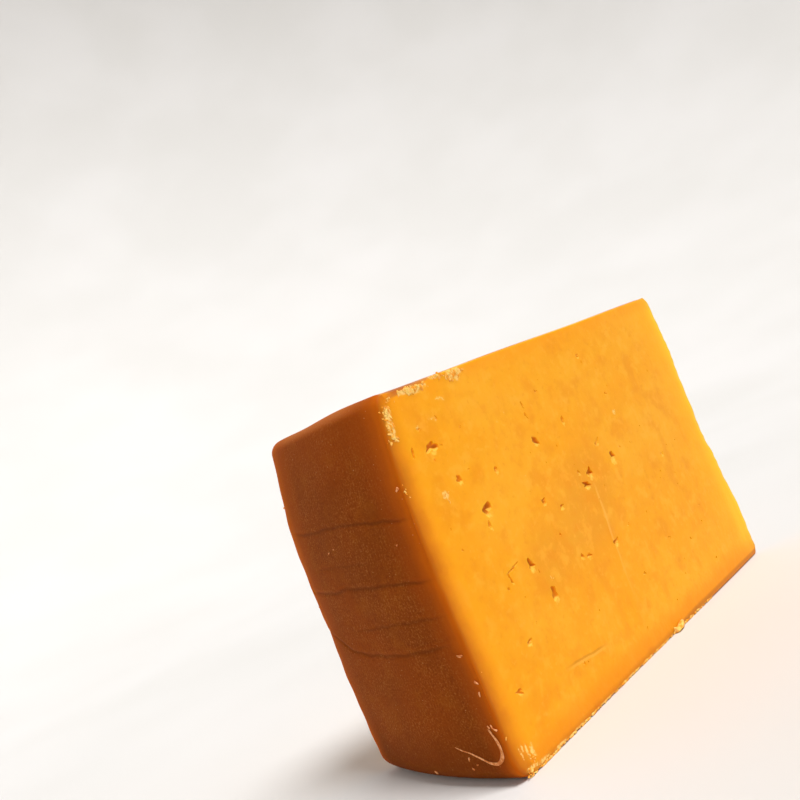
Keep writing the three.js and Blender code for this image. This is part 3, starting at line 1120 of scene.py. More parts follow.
    def lips(self) -> tuple[tuple[float, ...], ...]:
        """Finds the spots just below the clearest openings, where pale lower lips catch the light.

        Returns:
            Spots, each a distance from the tip, a height, a width and a tallness in mm, and a strength.
        """
        spots = []
        for from_tip, height, width, tallness, _, _ in Openings(self.form).clear:
            if min(width, tallness) >= self.least_lip:
                below = height - tallness / 2 - 0.3
                spots.append((from_tip - 0.1, below, 0.34 * width + 0.2, 0.3 * tallness + 0.2, 0.9))
        return tuple(spots)

    def spots(self, along: Array, height: Array, rows: tuple[tuple[float, ...], ...]) -> Array:
        """How strongly a place of a cut is marked: the sum of a bell curve about each spot.

        Args:
            along: Distance from the wheel's axis.
            height: Height above the bottom.
            rows: Spots, each a distance from the tip, height, width and tallness in mm, and a strength.

        Returns:
            The mark of each place, at most 1.
        """
        mark = np.zeros_like(along)
        for from_tip, up, width, tallness, strength in rows:
            off = ((along / MM - from_tip) / width) ** 2 + ((height / MM - up) / tallness) ** 2
            mark += strength * np.exp(-off)
        return np.clip(mark, 0, 1)

    def rounding_gap(self, from_side: Array, from_flat: Array, rounding: float) -> Array:
        """Works out the depth behind a rounded corner: its radius less the distance from its middle.

        Args:
            from_side: Depth in from the side.
            from_flat: Depth in from the flat face.
            rounding: The corner's radius.

        Returns:
            The depth of each place in the corner, and a vast one elsewhere.
        """
        past = (from_side < rounding) & (from_flat < rounding)
        reach = np.hypot(rounding - from_side, rounding - from_flat)
        return np.where(past, np.maximum(rounding - reach, 0), VAST)


def add_node(
    tree: bpy.types.NodeTree,
    kind: str,
    inputs: dict[str | int, object],
    output: str | int = 0,
    **settings: object,
) -> bpy.types.NodeSocket:
    """Adds one node with its settings, its values and its links.

    Args:
        tree: The node tree.
        kind: The node's type.
        inputs: For each input socket, either the output socket that feeds it or its value.
        output: Which output socket to hand back.
        **settings: Properties of the node.

    Returns:
        The node's output socket.
    """
    node = tree.nodes.new(kind)
    for name, value in settings.items():
        setattr(node, name, value)
    for key, value in inputs.items():
        if isinstance(value, bpy.types.NodeSocket):
            tree.links.new(value, node.inputs[key])
        else:
            node.inputs[key].default_value = value
    return node.outputs[output] if node.outputs else None


@dataclass(frozen=True)
class Cloud:
    """Cloudy variation whose patches are about a size across."""

    size: float
    detail: float = 2.0
    roughness: float = 0.5
    seed: float = 0.0

    def over(self, tree: bpy.types.NodeTree, place: bpy.types.NodeSocket) -> bpy.types.NodeSocket:
        """Lays the clouds out in a tree.

        Args:
            tree: The node tree.
            place: Object coordinates.

        Returns:
            Their height, from 0 to 1 and mostly near 0.5.
        """
        shift = {"Vector": place, "Location": (self.seed, 0.0, self.seed)}
        moved = add_node(tree, "ShaderNodeMapping", shift)
        inputs = {"Vector": moved, "Scale": 1 / self.size, "Detail": self.detail}
        inputs["Roughness"] = self.roughness
        return add_node(tree, "ShaderNodeTexNoise", inputs, output="Fac")


@dataclass(frozen=True)
class Coat:
    """A colour laid over what is beneath it, more and more as a measure goes from start to full.

    Where a second measure is named, the coat's share is multiplied by it.
    """

    measure: str
    start: float
    full: float
    share: float
    colour: str
    where: str = ""

    def over(self, tree: bpy.types.NodeTree, beneath: object, measures: Sockets) -> bpy.types.NodeSocket:
        """Lays the coat.

        Args:
            tree: The node tree.
            beneath: The colour below, a socket or a value.
            measures: The sockets that coats may follow, by name.

        Returns:
            The colour with this coat on it.
        """
        span = {"Value": measures[self.measure], "From Min": self.start, "From Max": self.full}
        span["To Max"] = self.share
        share = add_node(tree, "ShaderNodeMapRange", span, interpolation_type="SMOOTHSTEP")
        if self.where:
            kept = {0: share, 1: measures[self.where]}
            share = add_node(tree, "ShaderNodeMath", kept, operation="MULTIPLY")
        colours = {0: share, 6: beneath, 7: linear(self.colour)}
        return add_node(tree, "ShaderNodeMix", colours, 2, data_type="RGBA")


def lay_coats(
    tree: bpy.types.NodeTree, ground: str, coats: tuple[Coat, ...], measures: Sockets
) -> bpy.types.NodeSocket:
    """Lays coats in order over a ground colour.

    Args:
        tree: The node tree.
        ground: The ground colour, six hex digits.
        coats: The coats, undermost first.
        measures: The sockets that coats may follow, by name.

    Returns:
        The outermost colour.
    """
    colour = add_node(tree, "ShaderNodeRGB", {})
    colour.default_value = linear(ground)
    for coat in coats:
        colour = coat.over(tree, colour, measures)
    return colour


def new_finish(name: str) -> tuple[bpy.types.Material, bpy.types.NodeTree]:
    """Starts an empty node material.

    Args:
        name: What the material is.

    Returns:
        The material and its node tree.
    """
    material = bpy.data.materials.new(name)
    material.use_nodes = True
    material.node_tree.nodes.clear()
    return material, material.node_tree


@dataclass(frozen=True)
class SmokedCurd:
    """Washed-curd cheese, pressed in cloth, smoked on a rack and cut with a knife.

    The cut paste is orange yellow, soft and a little oily, and light goes a few millimetres into it. Smoke
    has turned the outside brown, and fades through red and amber within a few millimetres.
    """

    rack_pitch: float = 13.5 * MM
    rack_turn: float = math.radians(52)
    speck_gap: float = 1.7 * MM
    cloth_pitch: float = 1.3 * MM
    relief_depth: float = 0.14 * MM
    rib_relief: float = 0.14
    curd_relief: float = 1.3
    # How far the clouds shift the smoke's fronts, and the depth from which they do, in mm
    front_shift: float = 3.4
    small_shift: float = 0.8
    steady_depth: float = 3.0
    # Each knife mark's name, what it is measured in, what it runs along, its slope and start, the ends that
    # it fades between, in mm, and the name of its reach
    marks: tuple[tuple[object, ...], ...] = (
        # A pale line of painted highlight on the facet ridge, and a scratch of painted shade with a pale lip
        # of painted highlight
        ("knife_line_highlight", "along", "up", -0.1, 90.4, (18.0, 42.0, 54.0, 59.0), "knife_reach"),
        ("scratch", "up", "along", 0.125, -1.5, (112.0, 118.0, 131.0, 137.0), "scratch_reach"),
        ("scratch_lip_highlight", "up", "along", 0.125, -2.2, (112.0, 118.0, 131.0, 137.0), "scratch_reach"),
    )
    mark_waver: float = 1.6
    # What is stored on the mesh for this finish to follow
    stored: tuple[str, ...] = (
        "crust_in", "flat_in", "low_in", "top_in", "cut_in", "tip_in", "glow", "inner", "lit_floor", "torn",
        "crease", "shade", "rim_in", "low_rim", "lip", "along", "up",
    )
    clouds: tuple[tuple[str, Cloud], ...] = (
        ("big", Cloud(26 * MM)),
        ("wisp", Cloud(0.8 * MM, 2.0, 0.6, 0.31)),
        ("middle", Cloud(9 * MM, 3.0)),
        ("patch", Cloud(5 * MM, 3.0, 0.6, 0.17)),
        ("small", Cloud(1.9 * MM, 3.0, 0.6)),
        ("grain", Cloud(0.55 * MM, 1.0, 0.6)),
        ("dusty", Cloud(12 * MM, 2.0, seed=0.53)),
    )
    paste: str = "f6a414"
    paste_coats: tuple[Coat, ...] = (
        # Curd of slightly different colours, pressed together
        Coat("big", 0.42, 0.62, 1.0, "f8aa20"),
        Coat("shade", 0.2, 1.0, 0.55, "e3941c"),
        Coat("middle", 0.5, 0.7, 0.6, "ee970f"),
        Coat("patch", 0.5, 0.7, 0.5, "ffb436"),
        Coat("patch", 0.46, 0.28, 0.3, "ec930e"),
        Coat("small", 0.56, 0.76, 0.3, "ffb944"),
        Coat("small", 0.42, 0.26, 0.3, "e68d0e"),
        # Deeper yellow by the rind from the smoke; brighter at the thin tip, a painted glow of light coming
        # through it; deeper orange by the bottom, partly smoke and partly painted shade
        Coat("rind_front", 16.0, 5.0, 0.6, "f9a60c"),
        # Painted glow: light coming through the thin tip
        Coat("tip_in", 24.0, 7.0, 0.6, "ffb014"),
        Coat("tip_in", 9.0, 2.6, 0.85, "fbc024"),
        # Darker orange towards the bottom: partly smoke, partly painted shade along the bottom arris
        Coat("low_smoke_shade_front", 11.0, 2.5, 0.65, "ec8b0c"),
        Coat("low_smoke_shade_front", 3.2, 0.8, 0.8, "da7b0c"),
        # Brown bottom rim, reaching higher towards the tip: partly smoke, partly painted shade
        Coat("low_rim", 0.5, -0.6, 0.8, "c87418"),
        Coat("top_front", 7.0, 2.0, 0.4, "f29a10"),
        # Fine marks of the knife: a pale line of painted highlight on the facet ridge, and a scratch painted
        # as a dark line of painted shade with a pale lip of painted highlight
        Coat("knife_line_highlight", 0.8, 0.15, 0.42, "ffc45a", "knife_reach"),
        Coat("scratch", 0.65, 0.15, 0.45, "c87a12", "scratch_reach"),
        Coat("scratch_lip_highlight", 0.7, 0.15, 0.4, "ffc156", "scratch_reach"),
        # Painted shade inside the openings, deeper with depth; painted highlights on their pale lower lips
        # and on their upward-facing floors
        Coat("lip_front", 0.25, 0.65, 0.85, "ffc850"),
        Coat("inner", 0.1, 0.5, 0.8, "e27c08"),
        Coat("inner", 0.3, 0.9, 0.75, "bc5804"),
        Coat("lit_floor", 0.15, 0.55, 0.85, "ffc648"),
        # The pale torn line along the bottom arris
        Coat("low_in", 1.0, 0.35, 0.6, "f2b056", "torn_cloud"),
        # The smoke, from amber to brown, and the pale torn line of the top arris
        Coat("top_in", 0.9, 0.2, 0.7, "ffc061"),
        Coat("rim_in", 0.45, -0.5, 0.9, "c0702e"),
        Coat("rim_in", -0.5, -1.6, 0.8, "a8541a"),
        Coat("rind_front", 10.0, 4.0, 0.8, "e8900c"),
        Coat("rind_front", 6.4, 2.8, 0.9, "d8810a"),
        Coat("rind_front", 4.0, 1.7, 0.9, "ca7309"),
        Coat("rind_front", 2.2, 0.8, 1.0, "b86309"),
        Coat("torn", 0.15, 0.9, 0.6, "ffc45a"),
        Coat("torn_front", 0.34, 0.62, 0.9, "ffd27a"),
    )
    flat: str = "a6580e"
    flat_coats: tuple[Coat, ...] = (
        Coat("middle", 0.38, 0.66, 0.8, "bb6e14"),
        Coat("bars", 0.45, 0.95, 0.9, "6a3007", "bar_cloud"),
        Coat("small", 0.58, 0.8, 0.3, "c98232"),
        Coat("cut_in", 5.0, 0.4, 0.8, "c86c0d"),
        Coat("crust_in", 14.0, 2.0, 0.5, "8e4409"),
    )
    rind: str = "893e07"
    rind_coats: tuple[Coat, ...] = (
        Coat("big", 0.38, 0.66, 0.9, "7f3b08"),
        Coat("middle", 0.5, 0.72, 0.35, "97500f"),
        # Weave of the press cloth, printed as a fine paler and darker grain
        Coat("weave", 0.45, 0.95, 0.1, "a86a26", "weave_cloud"),
        Coat("grain", 0.53, 0.7, 0.42, "b4713a", "weave_cloud"),
        Coat("grain", 0.46, 0.28, 0.45, "682a04"),
        Coat("top_in", 22.0, 5.0, 0.32, "9c470c"),
        # A paler band along the top rim: a painted grazing highlight, with pale dust in it
        Coat("top_in", 3.4, 0.6, 0.7, "b5652f"),
        # Darker towards the foot: painted shade where the rind meets the floor
        Coat("low_in", 20.0, 4.0, 0.6, "6e3106"),
        # Light comes through the curd behind the near edge, which glows red and orange
        Coat("glow_in", 15.0, 6.0, 0.6, "a0480a"),
        Coat("glow_in", 7.5, 3.2, 0.8, "b2540a"),
        Coat("glow_in", 3.8, 1.6, 0.85, "bd5c0a"),
        Coat("glow_in", 1.3, 0.4, 0.8, "b2590a"),
        Coat("specks", 0.14, 0.05, 0.5, "d9a06c", "dust"),
        # Painted shade in the grooves of the creases
        Coat("crease", 0.0, 1.0, 0.42, "602a08"),
    )

    def build(self) -> bpy.types.Material:
        """Makes the material.

        Returns:
            The finished material.
        """
        material, tree = new_finish("smoked_washed_curd_cut_and_cloth_pressed")
        measures = self.measures(tree)
        colour = lay_coats(tree, self.paste, self.paste_coats, measures)
        flat = lay_coats(tree, self.flat, self.flat_coats, measures)
        rind = lay_coats(tree, self.rind, self.rind_coats, measures)
        for depth, start, full, outer in (("flat_in", 0.75, 0.2, flat), ("crust_in", 1.0, 0.3, rind)):
            span = {"Value": measures[depth], "From Min": start, "From Max": full}
            share = add_node(tree, "ShaderNodeMapRange", span, interpolation_type="SMOOTHSTEP")
            colour = add_node(tree, "ShaderNodeMix", {0: share, 6: colour, 7: outer}, 2, data_type="RGBA")
        roughness = {"Value": share, "To Min": 0.44, "To Max": 0.62}
        shine = {"Value": share, "To Min": 0.12, "To Max": 0.03}
        inputs = {
            "Base Color": colour,
            "Roughness": add_node(tree, "ShaderNodeMapRange", roughness),
            "Normal": self.bump(tree, share, measures),
            "IOR": 1.45,
            "Specular IOR Level": add_node(tree, "ShaderNodeMapRange", shine),
            "Subsurface Weight": self.depth_of_light(tree, share, measures),
            "Subsurface Radius": (1.0, 0.42, 0.08),
            "Subsurface Scale": 4.5 * MM,
        }
        shader = add_node(tree, "ShaderNodeBsdfPrincipled", inputs)
        add_node(tree, "ShaderNodeOutputMaterial", {"Surface": shader})
        return material

    def depth_of_light(
        self, tree: bpy.types.NodeTree, on_rind: bpy.types.NodeSocket, measures: Sockets
    ) -> bpy.types.NodeSocket:
        """Works out the share of light that goes in: most in cut paste, less in rind, little where torn.

        Args:
            tree: The node tree.
            on_rind: Share of rind, from 0 to 1.
            measures: The sockets that hold the torn spots.

        Returns:
            The share.
        """
        whole = {"Value": on_rind, "To Min": 0.62, "To Max": 0.34}
        left = {"Value": measures["torn_front"], "From Min": 0.3, "From Max": 0.7, "To Min": 1.0}
        left["To Max"] = 0.2
        shares = [add_node(tree, "ShaderNodeMapRange", span) for span in (whole, left)]
        return add_node(tree, "ShaderNodeMath", {0: shares[0], 1: shares[1]}, operation="MULTIPLY")

    def bump(
        self, tree: bpy.types.NodeTree, on_rind: bpy.types.NodeSocket, measures: Sockets
    ) -> bpy.types.NodeSocket:
        """Fine relief: the weave and grain of the rind, and the faint tear of the cut curd.

        Args:
            tree: The node tree.
            on_rind: Share of rind, from 0 to 1.
            measures: The sockets that hold the clouds.

        Returns:
            The bent normal.
        """
        ribbed = {0: measures["weave"], 1: self.rib_relief, 2: measures["grain"]}
        grain = add_node(tree, "ShaderNodeMath", ribbed, operation="MULTIPLY_ADD")
        scaled = {0: measures["small"], 1: self.curd_relief}
        curd = add_node(tree, "ShaderNodeMath", scaled, operation="MULTIPLY")
        relief = add_node(tree, "ShaderNodeMix", {0: on_rind, 2: curd, 3: grain}, data_type="FLOAT")
        bump = {"Strength": 0.6, "Distance": self.relief_depth, "Height": relief}
        return add_node(tree, "ShaderNodeBump", bump)

    def measures(self, tree: bpy.types.NodeTree) -> Sockets:
        """Gathers all that coats follow: numbers stored on the mesh, clouds, and lines along the cut.

        Args:
            tree: The node tree.

        Returns:
            Sockets by name.
        """
        place = add_node(tree, "ShaderNodeTexCoord", {}, output="Object")
        found = {
            name: add_node(tree, "ShaderNodeAttribute", {}, output="Fac", attribute_name=name)
            for name in self.stored
        }
        found.update({name: cloud.over(tree, place) for name, cloud in self.clouds})
        # The smoke reached in unevenly, so its fronts are shifted by clouds, but not right at the surface.
        # The painted glow behind the near edge and the painted shade by the bottom follow such fronts too
        broad = {0: found["middle"], 1: self.front_shift, 2: -self.front_shift / 2}
        fine = {0: found["small"], 1: self.small_shift}
        fine[2] = add_node(tree, "ShaderNodeMath", broad, operation="MULTIPLY_ADD")
        wobble = add_node(tree, "ShaderNodeMath", fine, operation="MULTIPLY_ADD")
        fronts = {"rind_front": "crust_in", "low_smoke_shade_front": "low_in", "top_front": "top_in", "glow_in": "glow"}
        for front, depth in fronts.items():
            near = {"Value": found[depth], "From Min": 0.0, "From Max": self.steady_depth}
            share = add_node(tree, "ShaderNodeMapRange", near, interpolation_type="SMOOTHSTEP")
            shift = {0: wobble, 1: share, 2: found[depth]}
            found[front] = add_node(tree, "ShaderNodeMath", shift, operation="MULTIPLY_ADD")
        # Torn spots, and the spots of painted highlight on the openings' lower lips, are ragged: their
        # strength is multiplied by fine clouds
        wisps = {0: found["wisp"], 1: 2.6, 2: -0.4}
        ragged = add_node(tree, "ShaderNodeMath", wisps, operation="MULTIPLY_ADD")
        for mark in ("torn", "lip"):
            spot = {0: ragged, 1: found[mark]}
            found[mark + "_front"] = add_node(tree, "ShaderNodeMath", spot, operation="MULTIPLY")
        found.update(self.weave(tree, found, place))
        found.update(self.knife_marks(tree, found))
        return found

    def weave(self, tree: bpy.types.NodeTree, found: Sockets, place: bpy.types.NodeSocket) -> Sockets:
        """Adds the cloth's ribs up the rind, the bars of the rack on the flats, and dust.

        Args:
            tree: The node tree.
            found: Sockets found so far.
            place: Object coordinates.

        Returns:
            More sockets by name.
        """
        rib = {"Vector": place, "Scale": 1 / (WAVES * self.cloth_pitch), "Distortion": 1.2, "Detail": 1.0}
        rib["Detail Scale"] = 2.0
        turned = {"Vector": place, "Rotation": (0.0, 0.0, self.rack_turn)}
        across = add_node(tree, "ShaderNodeMapping", turned)
        bar = {"Vector": across, "Scale": 1 / (WAVES * self.rack_pitch), "Distortion": 0.6, "Detail": 1.0}
        dots = {"Vector": place, "Scale": 1 / self.speck_gap}
        sockets = {
            "weave": add_node(tree, "ShaderNodeTexWave", rib, output="Fac", bands_direction="Y"),
            "bars": add_node(tree, "ShaderNodeTexWave", bar, output="Fac", bands_direction="X"),
            "specks": add_node(tree, "ShaderNodeTexVoronoi", dots, output="Distance"),
        }
        for name, cloud, low, high in (
            ("weave_cloud", "dusty", 0.2, 0.6),
            ("bar_cloud", "big", 0.34, 0.62),
            ("torn_cloud", "wisp", 0.34, 0.62),
            ("dust", "patch", 0.5, 0.6),
        ):
            span = {"Value": found[cloud], "From Min": low, "From Max": high}
            sockets[name] = add_node(tree, "ShaderNodeMapRange", span)
        return sockets

    def knife_marks(self, tree: bpy.types.NodeTree, found: Sockets) -> Sockets:
        """Adds one long pale line down the near cut, a painted highlight along the ridge of its facet, and
        one scratch low on it, a dark line of painted shade with a pale lip of painted highlight beside it.

        Each is a straight line bent by clouds. Its measure is the distance from it, in mm, and its reach is
        1 between its two ends.

        Args:
            tree: The node tree.
            found: Sockets found so far.

        Returns:
            More sockets by name.
        """
        sockets = {}
        for name, measured, along, slope, base, ends, reach_name in self.marks:
            straight = {0: found[along], 1: slope, 2: base}
            bent = {0: found["middle"], 1: self.mark_waver}
            bent[2] = add_node(tree, "ShaderNodeMath", straight, operation="MULTIPLY_ADD")
            apart = {0: found[measured], 1: add_node(tree, "ShaderNodeMath", bent, operation="MULTIPLY_ADD")}
            off = {0: add_node(tree, "ShaderNodeMath", apart, operation="SUBTRACT")}
            sockets[name] = add_node(tree, "ShaderNodeMath", off, operation="ABSOLUTE")
            reach = {}
            for end, (none, whole) in enumerate(((ends[0], ends[1]), (ends[3], ends[2]))):
                span = {"Value": found[along], "From Min": none, "From Max": whole}
                reach[end] = add_node(tree, "ShaderNodeMapRange", span)
            sockets[reach_name] = add_node(tree, "ShaderNodeMath", reach, operation="MULTIPLY")
        return sockets


@dataclass(frozen=True)
class CloudyFinish:
    """A finish of one colour that another lies over in clouds."""

    name: str
    body: str
    coats: tuple[Coat, ...]
    cloud: Cloud
    roughness: float
    shine: float = 0.5
    light_in: float = 0.0
    light_spread: tuple[float, float, float] = (1.0, 0.5, 0.2)
    light_reach: float = 0.25 * MM
    relief_depth: float = 0.0

    def build(self) -> bpy.types.Material:
        """Makes the material.

        Returns:
            The finished material.
        """
        material, tree = new_finish(self.name)
        place = add_node(tree, "ShaderNodeTexCoord", {}, output="Object")
        cloud = self.cloud.over(tree, place)
        inputs = {
            "Base Color": lay_coats(tree, self.body, self.coats, {"cloud": cloud}),
            "Roughness": self.roughness,
            "Specular IOR Level": self.shine,
            "Subsurface Weight": self.light_in,
            "Subsurface Radius": self.light_spread,
            "Subsurface Scale": self.light_reach,
        }
        if self.relief_depth:
            bump = {"Strength": 0.5, "Distance": self.relief_depth, "Height": cloud}
            inputs["Normal"] = add_node(tree, "ShaderNodeBump", bump)
        shader = add_node(tree, "ShaderNodeBsdfPrincipled", inputs)
        add_node(tree, "ShaderNodeOutputMaterial", {"Surface": shader})
        return material


@dataclass(frozen=True)
class TornCurd(CloudyFinish):
    """Crumbs of the same curd, torn and dry, so paler and matt, with light going into them."""

    name: str = "torn_dry_curd"
    body: str = "f69f30"
    coats: tuple[Coat, ...] = (Coat("cloud", 0.38, 0.6, 1.0, "ffce72"),)
    cloud: Cloud = Cloud(1.3 * MM)
    roughness: float = 0.6
    shine: float = 0.05
    light_in: float = 0.25
    relief_depth: float = 0.1 * MM


@dataclass(frozen=True)
class ShavedRind(CloudyFinish):
    """A thin shaving of smoked rind, curled by the knife: pinkish tan and waxy."""

    name: str = "shaved_waxy_rind"
    body: str = "d0783c"
    coats: tuple[Coat, ...] = (Coat("cloud", 0.42, 0.62, 1.0, "f0ac72"),)
    cloud: Cloud = Cloud(1.1 * MM)
    roughness: float = 0.5
    shine: float = 0.06


@dataclass(frozen=True)
class PalePaper(CloudyFinish):
    """Matt white studio paper, with the faint cloudiness of its fibres."""

    name: str = "matt_white_paper"
    body: str = "e6e4e2"
    coats: tuple[Coat, ...] = (Coat("cloud", 0.3, 0.7, 1.0, "e1dfdc"),)
    cloud: Cloud = Cloud(240 * MM)
    roughness: float = 0.9


# Crumb clusters of the far cut, given like those of the near one
FAR_CLUSTERS = (
    (24, 160.0, 108.6, 2.4, 0.4, 1.7),
    (12, 169.6, 88.0, 0.5, 2.0, 1.4),
    (16, 118.0, 109.2, 3.0, 0.3, 1.5),
    (10, 166.0, 2.4, 1.6, 0.7, 1.2),
    (8, 92.0, 41.0, 0.8, 0.6, 1.0),
    (6, 61.0, 83.0, 0.6, 0.6, 0.9),
    (8, 138.0, 66.0, 0.7, 0.5, 1.1),
    (10, 30.0, 108.6, 2.0, 0.4, 1.1),
)


@dataclass
class Crumbs:
    """Crumbs of torn curd that cling to a cut and its arrises."""

    form: WheelForm
    shift: Array
    cut: Cut
    name: str
    seed: int
    # Clusters: count, distance from the tip, height, spread along, spread up and largest crumb in mm
    clusters: tuple[tuple[float, ...], ...] = (
        (48, 166.2, 100.4, 0.7, 2.1, 1.6),
        (16, 164.8, 104.6, 0.6, 0.9, 1.4),
        (6, 168.2, 96.4, 0.4, 0.8, 1.2),
        (8, 162.6, 107.0, 0.9, 0.5, 1.0),
        (52, 150.8, 107.8, 2.3, 0.6, 1.9),
        (12, 156.4, 108.0, 1.0, 0.5, 1.3),
        (26, 138.8, 109.0, 1.6, 0.4, 1.9),
        (40, 131.8, 107.9, 2.2, 0.8, 1.6),
        (8, 128.4, 108.6, 1.0, 0.4, 1.1),
        (9, 155.7, 77.2, 0.7, 0.6, 1.1),
        (6, 169.6, 82.6, 0.3, 1.2, 1.0),
        (7, 163.8, 3.4, 2.0, 0.8, 0.9),
        (9, 166.4, 1.6, 1.2, 0.5, 1.1),
        (5, 57.1, 75.5, 0.6, 0.4, 0.9),
        (4, 125.9, 40.4, 0.4, 0.7, 0.6),
    )
    on_rind_arris: int = 2
    on_bottom_arris: int = 150
    floor_gap: float = 0.03 * MM
    smallest: float = 0.4
    width_shares: tuple[float, float] = (0.45, 0.9)
    # Crumbs by the rind's arris: heights, how far in they lie and lengths, all in mm
    arris_up: tuple[float, float] = (10, 92)
    arris_in: tuple[float, float] = (0.3, 2.2)
    arris_lengths: tuple[float, float] = (0.35, 0.8)
    # Crumbs along the bottom: distances from the tip, and the least height and length with how much more
    # they come to, all in mm, and the largest slope in degrees
    bottom_along: tuple[float, float] = (44, 167)
    bottom_up: tuple[float, float] = (0.25, 0.35)
    bottom_lengths: tuple[float, float] = (0.5, 2.2)
    bottom_slope: float = 12
    # Heights between which all crumbs lie, and how far they stay from the rind, in mm
    kept_up: tuple[float, float] = (0.2, 109.9)
    kept_in: float = 0.2
    # How far a crumb's middle stands out of the cut, and half its depth, as shares of its width
    stands_out: float = 0.04
    depth_shares: tuple[float, float] = (0.16, 0.3)
    # Lumps of the torn shred: distance from the tip, height, how far out it stands and half its length,
    # width and depth in mm, and its turn in radians
    shred: tuple[tuple[float, ...], ...] = (
        (72.0, 1.2, 0.7, 2.3, 1.0, 1.1, 0.3),
        (74.0, 1.0, 0.2, 1.6, 0.8, 0.7, -0.2),
        (70.4, 0.7, 0.5, 1.0, 0.6, 0.6, 0.6),
    )

    def rows(self, draw: np.random.Generator) -> Array:
        """Draws all crumbs on the cut: loose clusters, single ones and a ragged line at the bottom.

        Args:
            draw: Where random numbers come from.

        Returns:
            Distance from the tip, height, length and width in mm and turn in degrees, one row for each.
        """
        parts = []
        for count, from_tip, height, spread_along, spread_up, largest in self.clusters:
            at = draw.normal(0, 1, (count, 2)) * (spread_along, spread_up) + (from_tip, height)
            length = self.smallest + (largest - self.smallest) * draw.uniform(0, 1, count) ** 2.0
            width = length * draw.uniform(*self.width_shares, count)
            parts.append(np.column_stack([at, length, width, draw.uniform(-90, 90, count)]))
        arris = draw.uniform(*self.arris_up, self.on_rind_arris)
        size = draw.uniform(*self.arris_lengths, len(arris))
        arris_at = self.form.side_radius(arris * MM) / MM - draw.uniform(*self.arris_in, len(arris))
        turn = draw.uniform(-90, 90, len(arris))
        parts.append(np.column_stack([arris_at, arris, size, 0.6 * size, turn]))
        bottom = draw.uniform(*self.bottom_along, self.on_bottom_arris)
        shortest, longer = self.bottom_lengths
        length = shortest + longer * draw.uniform(0, 1, len(bottom)) ** 2.5
        lowest, higher = self.bottom_up
        up = lowest + higher * draw.uniform(0, 1, len(bottom)) ** 1.5
        slope = draw.uniform(-self.bottom_slope, self.bottom_slope, len(bottom))
        parts.append(np.column_stack([bottom, up, length, 0.3 + 0.25 * length**0.5, slope]))
        rows = np.concatenate(parts)
        from_tip, height = rows[:, 0], rows[:, 1]
        inside = (height > self.kept_up[0]) & (height < self.kept_up[1])
        return rows[inside & (from_tip < self.form.side_radius(height * MM) / MM - self.kept_in)]

    def build(self) -> bpy.types.Object:
        """Makes all crumbs of the cut as one piece, each sunk into the cut by about half.

        Returns:
            The crumbs' object.
        """
        draw = np.random.default_rng(self.seed)
        face = CutFace(self.form, self.cut)
        from_axis, height, length, width, turn = self.rows(draw).T
        places = face.place(from_axis * MM, height * MM, self.stands_out * width * MM)
        depth = width * draw.uniform(*self.depth_shares, len(width))
        sizes = np.column_stack([length / 2, width / 2, depth]) * MM
        lumps = Lumps(LumpKind.CRUMB, 12, 8, draw)
        points, faces = lumps.build(places, face.axes(np.radians(turn)), sizes)
        points[:, 2] = np.maximum(points[:, 2], self.floor_gap)
        return new_piece(self.name, points + self.shift, faces)

    def hanging(self) -> bpy.types.Object:
        """Makes the large pale crumb at the foot of the near cut, a shred torn off by the knife.

        Returns:
            The shred's object.
        """
        draw = np.random.default_rng(SEED + 2)
        face = CutFace(self.form, self.cut)
        rows = np.array(self.shred)
        from_axis, height, out = rows[:, :3].T * MM
        lumps = Lumps(LumpKind.CRUMB, 16, 11, draw)
        places = face.place(from_axis, height, out)
        points, faces = lumps.build(places, face.axes(rows[:, 6]), rows[:, 3:6] * MM)
        points[:, 2] = np.maximum(points[:, 2], self.floor_gap)
        return new_piece("torn_shred", points + self.shift, faces)


